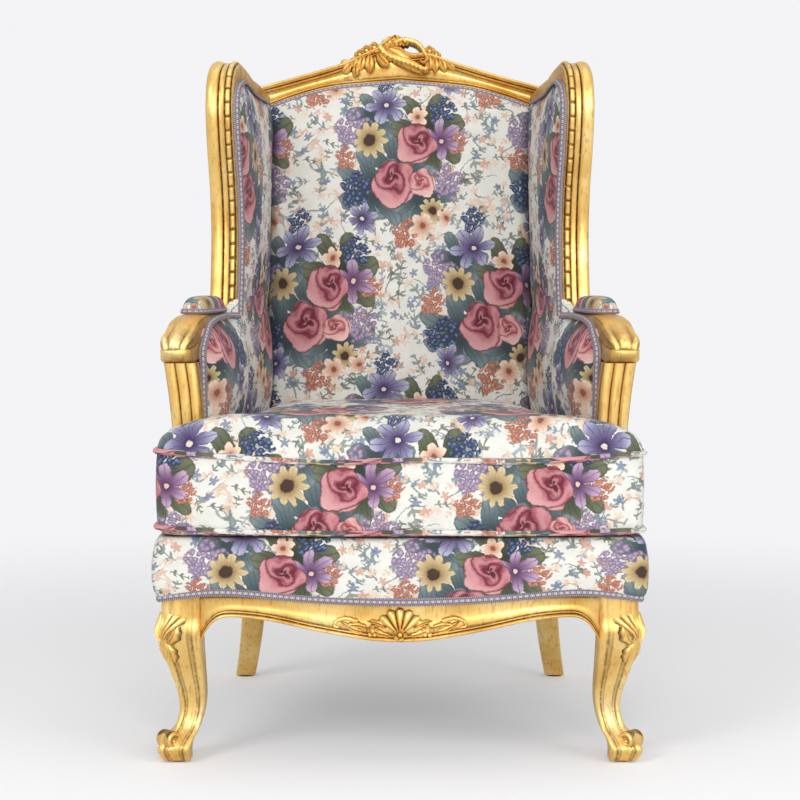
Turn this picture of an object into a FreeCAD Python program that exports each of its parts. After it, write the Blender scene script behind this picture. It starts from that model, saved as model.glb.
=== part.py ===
import FreeCAD, Part
import math
import os
import re

import Sketcher
from FreeCAD import Placement, Rotation, Vector

# A carved and gilded wing chair. It faces -Y, +Z is up, and the origin is on the floor under the middle
# of its outline. Left and right are as seen from the front, so left pieces lie at negative X.

# Driving sizes in millimetres: name, value, what it measures
SIZES = [
    ("overall_depth", 760, "front of the seat cushion to the rear of the crest"),
    ("crest_height", 1136, "floor to the top of the crest"),
    ("seat_width_front", 700, "across the front leg blocks"),
    ("seat_width_back", 548, "across the back posts at the seat"),
    ("seat_depth", 600, "front of the leg blocks to the rear of the back posts, at the seat"),
    ("front_overhang", 35, "how far the cushion stands ahead of the leg blocks"),
    ("rail_top", 270, "floor to the top of the seat rails"),
    ("rail_height", 58, "height of the side and back seat rails"),
    ("rail_thick", 28, "thickness of the seat rails"),
    ("side_rail_inset", 4, "side rail's outer face inside the leg block and post"),
    ("front_bow", 16, "how far the front rail bows out at its middle"),
    ("apron_middle", 98, "height of the front rail at its middle"),
    ("apron_arch", 59, "height of the front rail at its two arches"),
    ("apron_end", 66, "height of the front rail where it meets the legs"),
    ("shell_width", 104, "width of the carved boss under the middle of the front rail"),
    ("shell_relief", 5, "how far that boss stands out"),
    ("leg_block", 60, "side of the square block at the top of a front leg"),
    ("leg_edge_round", 6, "rounding of a front leg's edges"),
    ("leg_corner_round", 14, "rounding of a front leg's outer corner"),
    ("knee_height", 195, "floor to the knee"),
    ("knee_width", 64, "side of the leg at the knee"),
    ("knee_out", 3, "how far the knee stands out"),
    ("ankle_height", 75, "floor to the ankle"),
    ("ankle_width", 38, "side of the leg at the ankle"),
    ("ankle_in", 13, "how far the ankle is drawn in"),
    ("foot_height", 20, "floor to the widest part of the scroll foot"),
    ("foot_width", 45, "side of the scroll foot"),
    ("foot_out", 7, "how far the foot stands out"),
    ("toe_width", 36, "side of the foot at its base"),
    ("glide_thick", 3, "thickness of the felt glides"),
    ("glide_width", 28, "diameter of the felt glides"),
    ("post_width", 44, "width of a back post"),
    ("post_depth", 36, "depth of a back post"),
    ("post_round", 8, "rounding of a back post's edges"),
    ("rear_foot_width", 34, "side of a back foot"),
    ("rear_leg_kick", 62, "how far a back foot stands behind its post"),
    ("rear_leg_splay", 22, "how far a back foot stands out from its post"),
    ("post_top", 1005, "floor to the top of the back posts"),
    ("top_splay", 14, "how far a back post leans out at its top"),
    ("lower_back_rail_height", 345, "floor to the lower back rail"),
    ("lower_back_rail_width", 36, "height of the lower back rail"),
    ("lower_back_rail_thick", 20, "thickness of the lower back rail"),
    ("crest_thick", 40, "thickness of the crest rail"),
    ("crest_end", 36, "height of the crest rail at its ends"),
    ("crest_rise", 40, "how far the crest's lower edge rises to its middle"),
    ("crest_lap", 14, "how far the inside back laps up behind the crest's lower edge"),
    ("crest_shoulder", 62, "height of the crest's shoulders above the posts"),
    ("crest_carving_width", 196, "width of the carved cresting"),
    ("crest_carving_relief", 9, "how far the cresting stands out"),
    ("crest_hole_width", 22, "width of the pierced hole in the cresting"),
    ("crest_hole_height", 10, "height of the pierced hole in the cresting"),
    ("crest_hole_offset", 26, "pierced hole to the chair's middle"),
    ("arm_top", 655, "floor to the top of the arms"),
    ("arm_thick", 30, "thickness of the arms"),
    ("arm_width_back", 40, "width of an arm at the back post"),
    ("arm_width_front", 54, "width of an arm at its knuckle"),
    ("arm_overhang", 12, "how far the arm knuckles stand out past the seat's sides"),
    ("arm_splay", 4, "back post's middle to the arm's middle behind it"),
    ("arm_setback", 98, "front of the leg blocks to the front of the knuckles"),
    ("knuckle_drop", 30, "how far the arm dips at its knuckle"),
    ("knuckle_height", 42, "height of the knuckle"),
    ("arm_round", 9, "rounding of an arm's edges"),
    ("arm_post_width", 50, "width of an arm support"),
    ("arm_post_depth", 44, "depth of an arm support"),
    ("arm_post_setback", 4, "front of the knuckle to the front of its support"),
    ("arm_post_foot", 38, "width of an arm support where it stands on the rail"),
    ("wing_height", 1066, "floor to the top of the wings"),
    ("wing_reach", 322, "back post to the front of a wing"),
    ("wing_waist", 40, "how far a wing's front edge is drawn in above the arm"),
    ("wing_corner", 74, "rounding of a wing's top corner"),
    ("wing_rail_width", 34, "width of the show wood round a wing"),
    ("wing_rail_thick", 38, "thickness of the show wood round a wing"),
    ("wing_flare", 36, "how far a wing's front stands out from its post"),
    ("dowel_width", 8, "diameter of the dowels"),
    ("dowel_length", 44, "length of the dowels"),
    ("joint_play", 0.1, "glue gap round a dowel or tenon"),
    ("tenon_length", 22, "length of the seat rails' tenons"),
    ("tenon_root", 10, "how far a tenon's body runs back into its rail"),
    ("tenon_thick", 10, "thickness of the tenons"),
    ("tenon_shoulder", 9, "shoulder above and below a tenon"),
    ("block_reach", 74, "length of a corner block along each rail"),
    ("block_height", 40, "height of the corner blocks"),
    ("block_drop", 8, "how far the corner blocks lie below the rails' tops"),
    ("burlap_thick", 1.5, "thickness of the burlap over the webbing"),
    ("web_width", 50, "width of the webbing straps"),
    ("web_spacing", 64, "distance between the seat's straps"),
    ("web_thick", 1.6, "thickness of the webbing straps"),
    ("cambric_thick", 1.5, "thickness of the dust cover"),
    ("panel_thick", 5, "thickness of the outside panels"),
    ("panel_inset", 3, "how far the outside panels lie inside the show wood"),
    ("soft_gap", 1, "room between upholstery and its neighbours"),
    ("deck_top", 335, "floor to the top of the stuffed deck"),
    ("deck_bulge", 12, "how far the deck's front edge swells out"),
    ("deck_round", 14, "rounding of the deck's corners"),
    ("deck_skirt", 24, "how far the deck's front edge hangs below the rail's top"),
    ("inside_arm_front", 54, "seat's side to the inside arm's face at the arm supports"),
    ("inside_arm_back", 42, "seat's side to the inside arm's face at the back"),
    ("inside_arm_setback", 14, "arm support's rear to the inside arm's front"),
    ("inside_arm_bend", 50, "where the inside arm turns straight, to the back posts' middle"),
    ("inside_arm_swell", 9, "how far the inside arms swell inwards"),
    ("back_pad_thick", 58, "thickness of the inside back at its middle"),
    ("back_pad_edge", 26, "thickness of the inside back at its edge"),
    ("back_pad_inset", 44, "seat's side to the inside back's edge"),
    ("wing_pad_thick", 17, "thickness of the inside wings"),
    ("arm_pad_room", 13, "rear of the arm pads to the middle of the wings' show wood"),
    ("arm_pad_setback", 106, "front of the knuckles to the front of the arm pads"),
    ("arm_pad_edge", 8, "bare wood beside an arm pad, both sides together"),
    ("arm_pad_height", 26, "height of the arm pads above the arms"),
    ("cushion_overhang", 12, "how far the cushion's ears stand out past the seat's sides"),
    ("cushion_height", 104, "height of the seat cushion between its seams"),
    ("cushion_crown", 56, "how far the cushion crowns above its top seam"),
    ("cushion_waist", 4, "how far the cushion's sides are drawn in"),
    ("cushion_round", 26, "rounding of the cushion's corners"),
    ("cushion_gap", 4, "room between the cushion and the inside arms and back"),
    ("cover_thick", 2.5, "thickness of the cushion's cover"),
    ("piping_width", 8, "diameter of the cushion's piping"),
]
NAMES = {name for name, _, _ in SIZES}
SEAT_STRAPS = 7
ROD_SIDES = 10
PIPING_SIDES = 6
ARC_STEPS = 3
CURVE_FIT = 0.4

doc = FreeCAD.newDocument("WingChair")
sheet = doc.addObject("Spreadsheet::Sheet", "Sizes")
for row, (name, value, note) in enumerate(SIZES, 1):
    sheet.set(f"A{row}", note)
    sheet.set(f"B{row}", str(value))
    sheet.setAlias(f"B{row}", name)
doc.recompute()


def formula(text):
    """The text with every size name written as a cell of the sheet."""
    return re.sub(r"[a-z]\w+", lambda m: f"Sizes.{m[0]}" if m[0] in NAMES else m[0], text)


def size(text):
    """The value of a formula of size names."""
    return float(sheet.evalExpression(formula(text)))


def bind(obj, **properties):
    """Ties properties to formulas. Two underscores stand for a dot."""
    for name, text in properties.items():
        obj.setExpression(name.replace("__", "."), formula(text))


# Places that several pieces share, as formulas
FACE_Y = "(front_overhang - overall_depth / 2)"
REAR_Y = f"({FACE_Y} + seat_depth)"
POST_Y = f"({REAR_Y} - post_depth / 2)"
POST_X = "(seat_width_back / 2 - post_width / 2)"
LEG_X = "(seat_width_front / 2 - leg_block / 2)"
LEG_Y = f"({FACE_Y} + leg_block / 2)"
RAIL_BASE = "(rail_top - rail_height)"
CREST_FRONT = "(crest_thick / 2 + crest_carving_relief)"
ARM_X = "(seat_width_front / 2 + arm_overhang - arm_width_front / 2)"
ARM_FRONT_Y = f"({FACE_Y} + arm_setback)"
ARM_POST_Y = f"({ARM_FRONT_Y} + arm_post_setback + arm_post_depth / 2)"
ARM_Z = "(arm_top - arm_thick / 2)"
KNUCKLE_BASE = "(arm_top - knuckle_drop - knuckle_height)"


def back_rake():
    """Slope of the back that puts the crest's top at crest_height and its rear at the overall depth."""
    rise, reach = size("crest_height - rail_top"), size(f"overall_depth / 2 - {POST_Y}")
    rear, front = size("crest_thick / 2"), size(CREST_FRONT)
    slope = 0.0
    for _ in range(40):
        angle = math.atan(slope)
        slope = (reach - rear * math.cos(angle) + front * math.sin(angle) * slope) / rise
    return slope


# The back's own frame: x is X, y runs up the raked back, z points to the front
RAKE = back_rake()
RAKE_ANGLE = math.atan(RAKE)
RAKE_COS = math.cos(RAKE_ANGLE)
POST_TOP_Y = f"({POST_Y} + {RAKE} * (post_top - rail_top))"
BACK_ORIGIN = Vector(0, size(POST_Y), size("rail_top"))
BACK = Placement(BACK_ORIGIN, Rotation(Vector(1, 0, 0), 90 - math.degrees(RAKE_ANGLE)))
PLAN = Placement()
FRONT = Placement(Vector(), Rotation(Vector(1, 0, 0), 90))
SIDE = Placement(Vector(), Rotation(Vector(0, 1, 0), Vector(0, 0, 1), Vector(1, 0, 0), "XYZ"))


def up_back(height):
    """Distance along the raked back at a height above the floor."""
    return (height - size("rail_top")) / RAKE_COS


def post_front(height):
    """Y of a back post's front face at a height above the seat rails."""
    return size(f"{POST_Y} - post_depth / 2") + RAKE * (height - size("rail_top"))


def curve(points):
    """A smooth curve through points."""
    spline = Part.BSplineCurve()
    spline.interpolate([Vector(*p) for p in points])
    return spline


def outline(path):
    """Closed edges through a path: a point is a straight run, a list of two points is an arc through
    the first, and a longer list is a smooth curve, made of tangent arcs."""
    edges = []
    start = path[0]
    for step in [*path[1:], path[0]]:
        if isinstance(step, list):
            if len(step) == 2:
                edges.append(Part.Arc(*[Vector(*p) for p in (start, *step)]))
            else:
                edges += curve([start, *step]).toBiArcs(CURVE_FIT)
            start = step[-1]
        elif (Vector(*step) - Vector(*start)).Length > 1e-6:
            edges.append(Part.LineSegment(Vector(*start), Vector(*step)))
            start = step
    return edges


def prism(name, path, frame, low, high):
    """An outline drawn in a frame and run along that frame's z from low to high, both formulas."""
    sketch = doc.addObject("Sketcher::SketchObject", f"{name}_outline")
    for edge in outline(path):
        sketch.addGeometry(edge)
    sketch.Placement = frame
    solid = doc.addObject("Part::Extrusion", name)
    solid.Base = sketch
    solid.DirMode = "Normal"
    solid.Solid = True
    bind(solid, LengthFwd=high, LengthRev=f"-({low})")
    return solid


def rounded_section(body, name, place, width, depth, radii, tilt=0.0):
    """A rectangle with four rounded corners, in a body's XY plane moved to place. Corners run from
    front right round to front left. All sizes are formulas."""
    sketch = body.newObject("Sketcher::SketchObject", name)
    plane = next(f for f in body.Origin.OriginFeatures if f.Role == "XY_Plane")
    sketch.AttachmentSupport = [(plane, "")]
    sketch.MapMode = "FlatFace"
    sketch.AttachmentOffset = Placement(Vector(), Rotation(Vector(1, 0, 0), tilt))
    for axis, text in zip("xyz", place):
        bind(sketch, **{f"AttachmentOffset__Base__{axis}": text})
    half_x, half_y = size(width) / 2, size(depth) / 2
    corners = [(half_x, -half_y), (half_x, half_y), (-half_x, half_y), (-half_x, -half_y)]
    ends = []
    for turn, ((x, y), radius) in enumerate(zip(corners, radii)):
        r = size(radius)
        centre = Vector(x - math.copysign(r, x), y - math.copysign(r, y), 0)
        start = math.radians(90 * turn - 90)
        circle = Part.Circle(centre, Vector(0, 0, 1), r)
        ends.append(Part.ArcOfCircle(circle, start, start + math.pi / 2))
    for turn in range(4):
        sketch.addGeometry(Part.LineSegment(ends[turn - 1].EndPoint, ends[turn].StartPoint))
        sketch.addGeometry(ends[turn])
    front, right, rear, left = 0, 2, 4, 6
    for line in range(8):
        sketch.addConstraint(Sketcher.Constraint("Tangent", line, 2, (line + 1) % 8, 1))
    for line in (front, rear):
        sketch.addConstraint(Sketcher.Constraint("Horizontal", line))
    for line in (right, left):
        sketch.addConstraint(Sketcher.Constraint("Vertical", line))
    spans = [("DistanceX", left, right, width), ("DistanceY", front, rear, depth)]
    for kind, near, far, text in spans:
        whole = sketch.addConstraint(Sketcher.Constraint(kind, near, 1, far, 1, size(text)))
        half = sketch.addConstraint(Sketcher.Constraint(kind, -1, 1, far, 1, size(text) / 2))
        sketch.setExpression(f"Constraints[{whole}]", formula(text))
        sketch.setExpression(f"Constraints[{half}]", formula(f"({text}) / 2"))
    for turn, radius in enumerate(radii):
        index = sketch.addConstraint(Sketcher.Constraint("Radius", 2 * turn + 1, size(radius)))
        sketch.setExpression(f"Constraints[{index}]", formula(radius))
    return sketch


def add_loft(body, sections):
    """A loft straight from section to section, added to a body."""
    loft = body.newObject("PartDesign::AdditiveLoft", f"{body.Name}_loft")
    loft.Profile = sections[0]
    loft.Sections = sections[1:]
    loft.Ruled = True
    return loft


def add_pad(body, section, length):
    """A section padded upwards, added to a body."""
    pad = body.newObject("PartDesign::Pad", f"{body.Name}_pad")
    pad.Profile = section
    bind(pad, Length=length)
    return pad


def cut(name, base, *tools):
    """base with each tool taken away in turn."""
    for number, tool in enumerate(tools, 1):
        piece = doc.addObject("Part::Cut", name if number == len(tools) else f"{name}_cut_{number}")
        piece.Base = base
        piece.Tool = tool
        base = piece
    return base


def common(name, first, second):
    """What two solids share."""
    piece = doc.addObject("Part::Common", name)
    piece.Base = first
    piece.Tool = second
    return piece


def fuse(name, first, second):
    """Two solids as one piece."""
    piece = doc.addObject("Part::Fuse", name)
    piece.Base = first
    piece.Tool = second
    return piece


def group(name, members):
    """Separate solids under one name."""
    piece = doc.addObject("Part::Compound", name)
    piece.Links = members
    return piece


def mirrored(name, source):
    """The right-hand copy of a left-hand piece."""
    piece = doc.addObject("Part::Mirroring", name)
    piece.Source = source
    piece.Normal = Vector(1, 0, 0)
    return piece


def rod(name, width, length, point, direction):
    """A fluted rod whose middle is at point. Width and length are formulas."""
    piece = doc.addObject("Part::Prism", name)
    piece.Polygon = ROD_SIDES
    bind(piece, Circumradius=f"({width}) / 2", Height=length)
    along = Vector(*direction).normalize()
    start = Vector(*point) - along * (size(length) / 2)
    piece.Placement = Placement(start, Rotation(Vector(0, 0, 1), along))
    return piece


def box(name, corner, spans):
    """A box from its low corner, with spans as formulas."""
    piece = doc.addObject("Part::Box", name)
    bind(piece, Length=spans[0], Width=spans[1], Height=spans[2])
    for axis, text in zip("xyz", corner):
        bind(piece, **{f"Placement__Base__{axis}": text})
    return piece


def feature(name, shape):
    """A piece whose shape is worked out from the sheet by this file."""
    piece = doc.addObject("Part::Feature", name)
    piece.Shape = shape
    return piece


def ring_at(path, frame, level):
    """Corners along a path at a level of a frame's z, with curves taken in even steps."""
    corners = []
    start = path[0]
    for step in [*path[1:], path[0]]:
        if isinstance(step, list):
            round_bend = len(step) == 2
            through = [start, *step]
            bend = Part.Arc(*[Vector(*p) for p in through]) if round_bend else curve(through)
            count = ARC_STEPS if round_bend else ARC_STEPS * len(step)
            first, last = bend.FirstParameter, bend.LastParameter
            corners += [bend.value(first + (last - first) * number / count) for number in range(count)]
            start = step[-1]
        elif (Vector(*step) - Vector(*start)).Length > 1e-6:
            corners.append(Vector(*start))
            start = step
    return [frame.multVec(Vector(p.x, p.y, level)) for p in corners]


def flat_face(*corners):
    """A flat face between corners."""
    return Part.Face(Part.makePolygon([*corners, corners[0]]))


def straight_loft(rings):
    """A closed solid through rings of corners, with flat faces from each ring to the next."""
    faces = [flat_face(*rings[0]), flat_face(*rings[-1])]
    for low, high in zip(rings, rings[1:]):
        for number in range(len(low)):
            a, b, c, d = low[number - 1], low[number], high[number], high[number - 1]
            across = (b - a).cross(d - a)
            flat = across.Length < 1e-9 or abs(across.normalize().dot(c - a)) < 1e-7
            faces += [flat_face(a, b, c, d)] if flat else [flat_face(a, b, c), flat_face(a, c, d)]
    shell = Part.makeShell(faces)
    shell.sewShape()
    solid = Part.makeSolid(Part.Shell(shell.Faces))
    return solid if solid.Volume > 0 else solid.reversed()


def eased(keys, steps):
    """Stations from key to key, each a tuple of formulas: the first runs evenly, the rest ease in and out."""
    stations = [keys[0]]
    for here, there in zip(keys, keys[1:]):
        for step in range(1, steps + 1):
            even = step / steps
            ease = even * even * (3 - 2 * even)
            shares = [even] + [ease] * (len(here) - 1)
            blends = zip(here, there, shares)
            stations.append(tuple(f"({a}) + (({b}) - ({a})) * {share}" for a, b, share in blends))
    return stations


def front_leg():
    """Cabriole leg: a square block, a knee, a drawn-in ankle and a scroll foot, on the diagonal."""
    body = doc.addObject("PartDesign::Body", "front_leg_left_blank")
    keys = [
        ("glide_thick", "toe_width", "foot_out"),
        ("foot_height", "foot_width", "foot_out"),
        ("ankle_height", "ankle_width", "-ankle_in"),
        ("knee_height", "knee_width", "knee_out"),
        (RAIL_BASE, "leg_block", "0"),
    ]
    stations = [*keys[:1], *eased(keys[1:4], 2), keys[4]]
    radii = ["leg_edge_round", "leg_edge_round", "leg_edge_round", "leg_corner_round"]
    sections = [
        rounded_section(body, f"leg_section_{i}", (f"-{LEG_X} - ({out})", f"{LEG_Y} - ({out})", z),
                        width, width, radii)
        for i, (z, width, out) in enumerate(stations)
    ]
    add_loft(body, sections)
    top = rounded_section(body, "leg_block_section", (f"-{LEG_X}", LEG_Y, RAIL_BASE),
                          "leg_block", "leg_block", radii)
    add_pad(body, top, "rail_height")
    return body


def back_post():
    """Back leg and back post in one: a kicked leg, an upright block at the rails, a raked post."""
    body = doc.addObject("PartDesign::Body", "back_post_left_blank")
    radii = ["post_round"] * 4
    share = [0, 0.25, 0.55, 1]
    sections = []
    for i, up in enumerate(share):
        kick = (1 - up) ** 2
        place = (f"-{POST_X} - rear_leg_splay * {kick}", f"{POST_Y} + rear_leg_kick * {kick}",
                 f"glide_thick + ({RAIL_BASE} - glide_thick) * {up}")
        width = f"rear_foot_width + (post_width - rear_foot_width) * {up}"
        depth = f"rear_foot_width + (post_depth - rear_foot_width) * {up}"
        sections.append(rounded_section(body, f"rear_leg_section_{i}", place, width, depth, radii))
    add_loft(body, sections)
    block = rounded_section(body, "post_block_section", (f"-{POST_X}", POST_Y, RAIL_BASE),
                            "post_width", "post_depth", radii)
    add_pad(body, block, "rail_height")
    low = rounded_section(body, "post_low_section", (f"-{POST_X}", POST_Y, "rail_top"),
                          "post_width", "post_depth", radii)
    top = rounded_section(body, "post_top_section",
                          (f"-{POST_X} - top_splay", POST_TOP_Y, "post_top"),
                          "post_width", "post_depth", radii, -math.degrees(RAKE_ANGLE))
    add_loft(body, [low, top]).Label = "raked_post"
    return body


def front_rail():
    """Serpentine apron, sawn to its front outline and to its bow, with a carved boss at the middle."""
    half = size(f"{LEG_X} - leg_block / 2")
    top = size("rail_top")
    ends, arch = top - size("apron_end"), top - size("apron_arch")
    drop = top - size("apron_middle")
    lower_edge = [(-half * 0.8, arch, 0), (-half * 0.42, (arch + drop) / 2, 0), (0, drop, 0),
                  (half * 0.42, (arch + drop) / 2, 0), (half * 0.8, arch, 0), (half, ends, 0)]
    face = prism("front_rail_face", [(-half, top, 0), (-half, ends, 0), lower_edge, (half, top, 0)],
                 FRONT, f"-({FACE_Y} + rail_thick)", f"-({FACE_Y} - front_bow)")
    rear = size(f"{FACE_Y} + rail_thick")
    bow = [(0, size(f"{FACE_Y} - front_bow"), 0), (half, size(FACE_Y), 0)]
    plan = prism("front_rail_plan", [(-half, rear, 0), (-half, size(FACE_Y), 0), bow, (half, rear, 0)],
                 PLAN, "0", "rail_top")
    rail = common("front_rail_sawn", face, plan)
    boss_half = size("shell_width") / 2
    crown = drop + size("apron_middle") * 0.45
    boss = prism("front_rail_boss", [(-boss_half, drop + 12, 0), [(0, drop, 0), (boss_half, drop + 12, 0)],
                                     [(0, crown, 0), (-boss_half, drop + 12, 0)]],
                 FRONT, f"-({FACE_Y})", f"-({FACE_Y} - front_bow - shell_relief)")
    return rail, boss


def side_line(y, inset=0.0):
    """X of the left side rail's outer face at y, moved in by inset."""
    front_x, front_y = -size("seat_width_front / 2 - side_rail_inset"), size(f"{FACE_Y} + leg_block")
    back_x, back_y = -size("seat_width_back / 2 - side_rail_inset"), size(f"{REAR_Y} - post_depth")
    return front_x + (back_x - front_x) * (y - front_y) / (back_y - front_y) + inset


def side_rail():
    """Side rail between the leg block and the back post, sawn to a low arch and set at the seat's taper."""
    thick, top = size("rail_thick"), size("rail_top")
    front, rear = size(f"{FACE_Y} + leg_block"), size(f"{REAR_Y} - post_depth")
    base = size(RAIL_BASE)
    lower_edge = [(front * 0.5, base + 9, 0), (0, base + 7, 0), (rear, base, 0)]
    face = prism("side_rail_face", [(front, top, 0), (front, base - 3, 0), lower_edge, (rear, top, 0)],
                 SIDE, "-seat_width_front / 2", "0")
    plan = prism("side_rail_plan", [(side_line(front), front, 0), (side_line(rear), rear, 0),
                                    (side_line(rear, thick), rear, 0), (side_line(front, thick), front, 0)],
                 PLAN, "0", "rail_top")
    return common("side_rail_left_blank", face, plan)


def lower_back_rail(posts):
    """Straight rail across the back above the seat, in the back's plane and coped to both posts."""
    half = size("seat_width_back / 2")
    low = up_back(size("lower_back_rail_height"))
    high = low + size("lower_back_rail_width")
    path = [(-half, low, 0), (half, low, 0), (half, high, 0), (-half, high, 0)]
    blank = prism("lower_back_rail_whole", path, BACK, "-lower_back_rail_thick / 2",
                  "lower_back_rail_thick / 2")
    return cut("lower_back_rail_blank", blank, *posts)


def crest_rail():
    """Serpentine crest on top of the back posts, with a carved and pierced cresting at its middle."""
    seat = up_back(size("post_top"))
    end = size(f"{POST_X} + top_splay + post_width / 2") + 4
    inner = size(f"{POST_X} + top_splay - post_width / 2") - 4
    rise = seat + size("crest_rise")
    top = up_back(size("crest_height")) - size(CREST_FRONT) * RAKE
    shoulder, half_carving = seat + size("crest_shoulder"), size("crest_carving_width") / 2
    crown = top - 12
    lower_edge = [(-inner / 2, seat + (rise - seat) * 0.74, 0), (0, rise, 0),
                  (inner / 2, seat + (rise - seat) * 0.74, 0), (inner, seat, 0)]
    tip = seat + size("crest_end")
    upper_edge = [(end * 0.64, shoulder - 5, 0), (half_carving, shoulder + 14, 0), (0, crown, 0),
                  (-half_carving, shoulder + 14, 0), (-end * 0.64, shoulder - 5, 0), (-end + 6, tip, 0)]
    rail = prism("crest_sawn", [(-end, seat, 0), (-inner, seat, 0), lower_edge, (end, seat, 0),
                                (end - 6, tip, 0), upper_edge],
                 BACK, "-crest_thick / 2", "crest_thick / 2")
    wave = [(half_carving * 0.55, crown - 8, 0), (half_carving * 0.22, top - 4, 0), (0, top, 0),
            (-half_carving * 0.22, top - 4, 0), (-half_carving * 0.55, crown - 8, 0),
            (-half_carving, shoulder + 4, 0)]
    base = [(-half_carving * 0.5, rise + 26, 0), (0, rise + 22, 0), (half_carving * 0.5, rise + 26, 0),
            (half_carving, shoulder + 4, 0)]
    carving = prism("cresting", [(half_carving, shoulder + 4, 0), wave, base],
                    BACK, "-crest_thick / 2", CREST_FRONT)
    whole = fuse("crest_whole", rail, carving)
    side, hole_y = size("crest_hole_offset"), top - 26
    half_w, half_h = size("crest_hole_width") / 2, size("crest_hole_height") / 2
    ring = [(side - half_w, hole_y, 0), [(side, hole_y + half_h, 0), (side + half_w, hole_y, 0)],
            [(side, hole_y - half_h, 0), (side - half_w, hole_y, 0)]]
    hole = prism("crest_hole", ring, BACK, "-crest_thick", "crest_thick * 2")
    return cut("crest_rail_blank", whole, hole)


def back_zone(name, face):
    """All the room behind a plane of the back, for trimming what butts against it."""
    half, low, high = size("seat_width_front"), -size("rail_top"), size("crest_height")
    corners = [(-half, low, 0), (half, low, 0), (half, high, 0), (-half, high, 0)]
    return prism(name, corners, BACK, "-overall_depth / 2", face)


def arm_line(y):
    """X of the left arm's middle at y."""
    front_x, front_y = -size(ARM_X), size(f"{ARM_FRONT_Y} + knuckle_height / 2")
    back_x, back_y = -size(f"{POST_X} + arm_splay"), post_front(size("arm_top"))
    return front_x + (back_x - front_x) * (y - front_y) / (back_y - front_y)


def rounded_rectangle(x, z, half_x, half_z, radius):
    """A rectangle's path round a middle, with equal rounded corners."""
    corners = [(x + half_x, z - half_z, 0), (x + half_x, z + half_z, 0), (x - half_x, z + half_z, 0),
               (x - half_x, z - half_z, 0)]
    turns = rounded(corners, radius)
    path = [turns[0][2]]
    for turn in turns[1:]:
        path += [turn[0], turn[1:]]
    return [*path, turns[0][0], turns[0][1:]]


def arm(rear_zone):
    """Arm rail from the back post to a dipped, rounded knuckle with a flat seat for its support."""
    front, rear = size(ARM_FRONT_Y), post_front(size("arm_top")) + 12
    drop, level = size("knuckle_drop"), size("arm_top")
    wide, narrow = size("arm_width_front"), size("arm_width_back")
    seat, under = size(KNUCKLE_BASE), size("arm_top - arm_thick")
    run = rear - front
    stations = [
        (0, drop + 8, seat + 5, wide - 8), (0.02, drop * 0.94, seat, wide),
        (0.06, drop * 0.72, seat, wide), (0.1, drop * 0.42, seat, wide),
        (0.14, drop * 0.18, (seat + under) / 2, wide - 2), (0.2, 0, under, wide - 6),
        (0.5, 0, under, (wide + narrow) / 2), (1, 0, under, narrow),
    ]
    rings = []
    for along, dip, low, width in stations:
        y = front + run * along
        high = level - dip
        path = rounded_rectangle(arm_line(y), (low + high) / 2, width / 2, (high - low) / 2,
                                 size("arm_round"))
        rings.append(ring_at(path, FRONT, -y))
    return cut("arm_left_blank", feature("arm_left_whole", straight_loft(rings)), rear_zone)


def arm_support():
    """Curved support that stands on the side rail and carries the knuckle."""
    body = doc.addObject("PartDesign::Body", "arm_post_left_blank")
    y = size(ARM_POST_Y)
    foot_x = side_line(y, size("rail_thick") / 2)
    head_x = -size(ARM_X) + 2
    low, high = size("rail_top"), size(KNUCKLE_BASE)
    radii = ["arm_round"] * 4
    wider = "arm_post_foot + (arm_post_width - arm_post_foot) * {}".format
    stations = [(0, wider(0), 10), (0.3, wider(0.4), 11), (0.65, wider(0.95), 6), (1, wider(1), 0)]
    sections = []
    for number, (up, width, back) in enumerate(stations):
        x = foot_x + (head_x - foot_x) * up ** 1.6
        place = (str(x), f"{ARM_POST_Y} + {back}", str(low + (high - low) * up))
        sections.append(rounded_section(body, f"arm_post_section_{number}", place, width,
                                        "arm_post_depth", radii))
    add_loft(body, sections)
    return body


def wing_frame():
    """The left wing's own frame: x runs forward from the back post, y is up, z points outwards."""
    back = Vector(-size(POST_X) + 2, post_front(size("(arm_top + wing_height) / 2")), 0)
    reach, flare = size("wing_reach"), size("wing_flare")
    forward = Vector(-flare, -reach, 0).normalize()
    return Placement(back, Rotation(forward, Vector(0, 0, 1), forward.cross(Vector(0, 0, 1)), "XYZ"))


def wing_curve(shift):
    """The wing's front and top edge in its own frame, moved inwards by shift."""
    reach, waist, corner = size("wing_reach"), size("wing_waist"), size("wing_corner")
    low, top = size(f"{ARM_Z}"), size("wing_height")
    span = top - low
    ear = reach - shift
    back = post_front(size("(arm_top + wing_height) / 2")) - post_front(top)
    fall = size("wing_height - post_top - crest_end / 2")
    return [
        (ear - waist * 0.55, low, 0), (ear - waist, low + span * 0.34, 0),
        (ear - waist * 0.35, low + span * 0.62, 0), (ear, low + span * 0.81, 0),
        (ear - corner * 0.28, top - shift - corner * 0.3, 0), (ear - corner, top - shift, 0),
        (reach * 0.4, top - shift - fall * 0.4, 0), (back - 30, top - shift - fall * 0.9, 0),
    ]


def wing_rail(frame, *neighbours):
    """Show wood round a wing: up from the arm, over the ear and back to the crest."""
    outer, inner = wing_curve(0), wing_curve(size("wing_rail_width"))
    band = [outer[0], outer[1:], inner[-1], inner[-2::-1]]
    blank = prism("wing_rail_left_sawn", band, frame, "-wing_rail_thick / 2", "wing_rail_thick / 2")
    return cut("wing_rail_left_blank", blank, *neighbours)


def wing_outline():
    """The wing inside its show wood, from the middle of the back post to the middle of the show wood."""
    edge = wing_curve(size("wing_rail_width") / 2)
    middle = post_front(size("(arm_top + wing_height) / 2"))
    foot = middle - post_front(edge[0][1]) - size("post_depth / 2")
    return [(foot, edge[0][1], 0), edge[0], edge[1:]]


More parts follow.
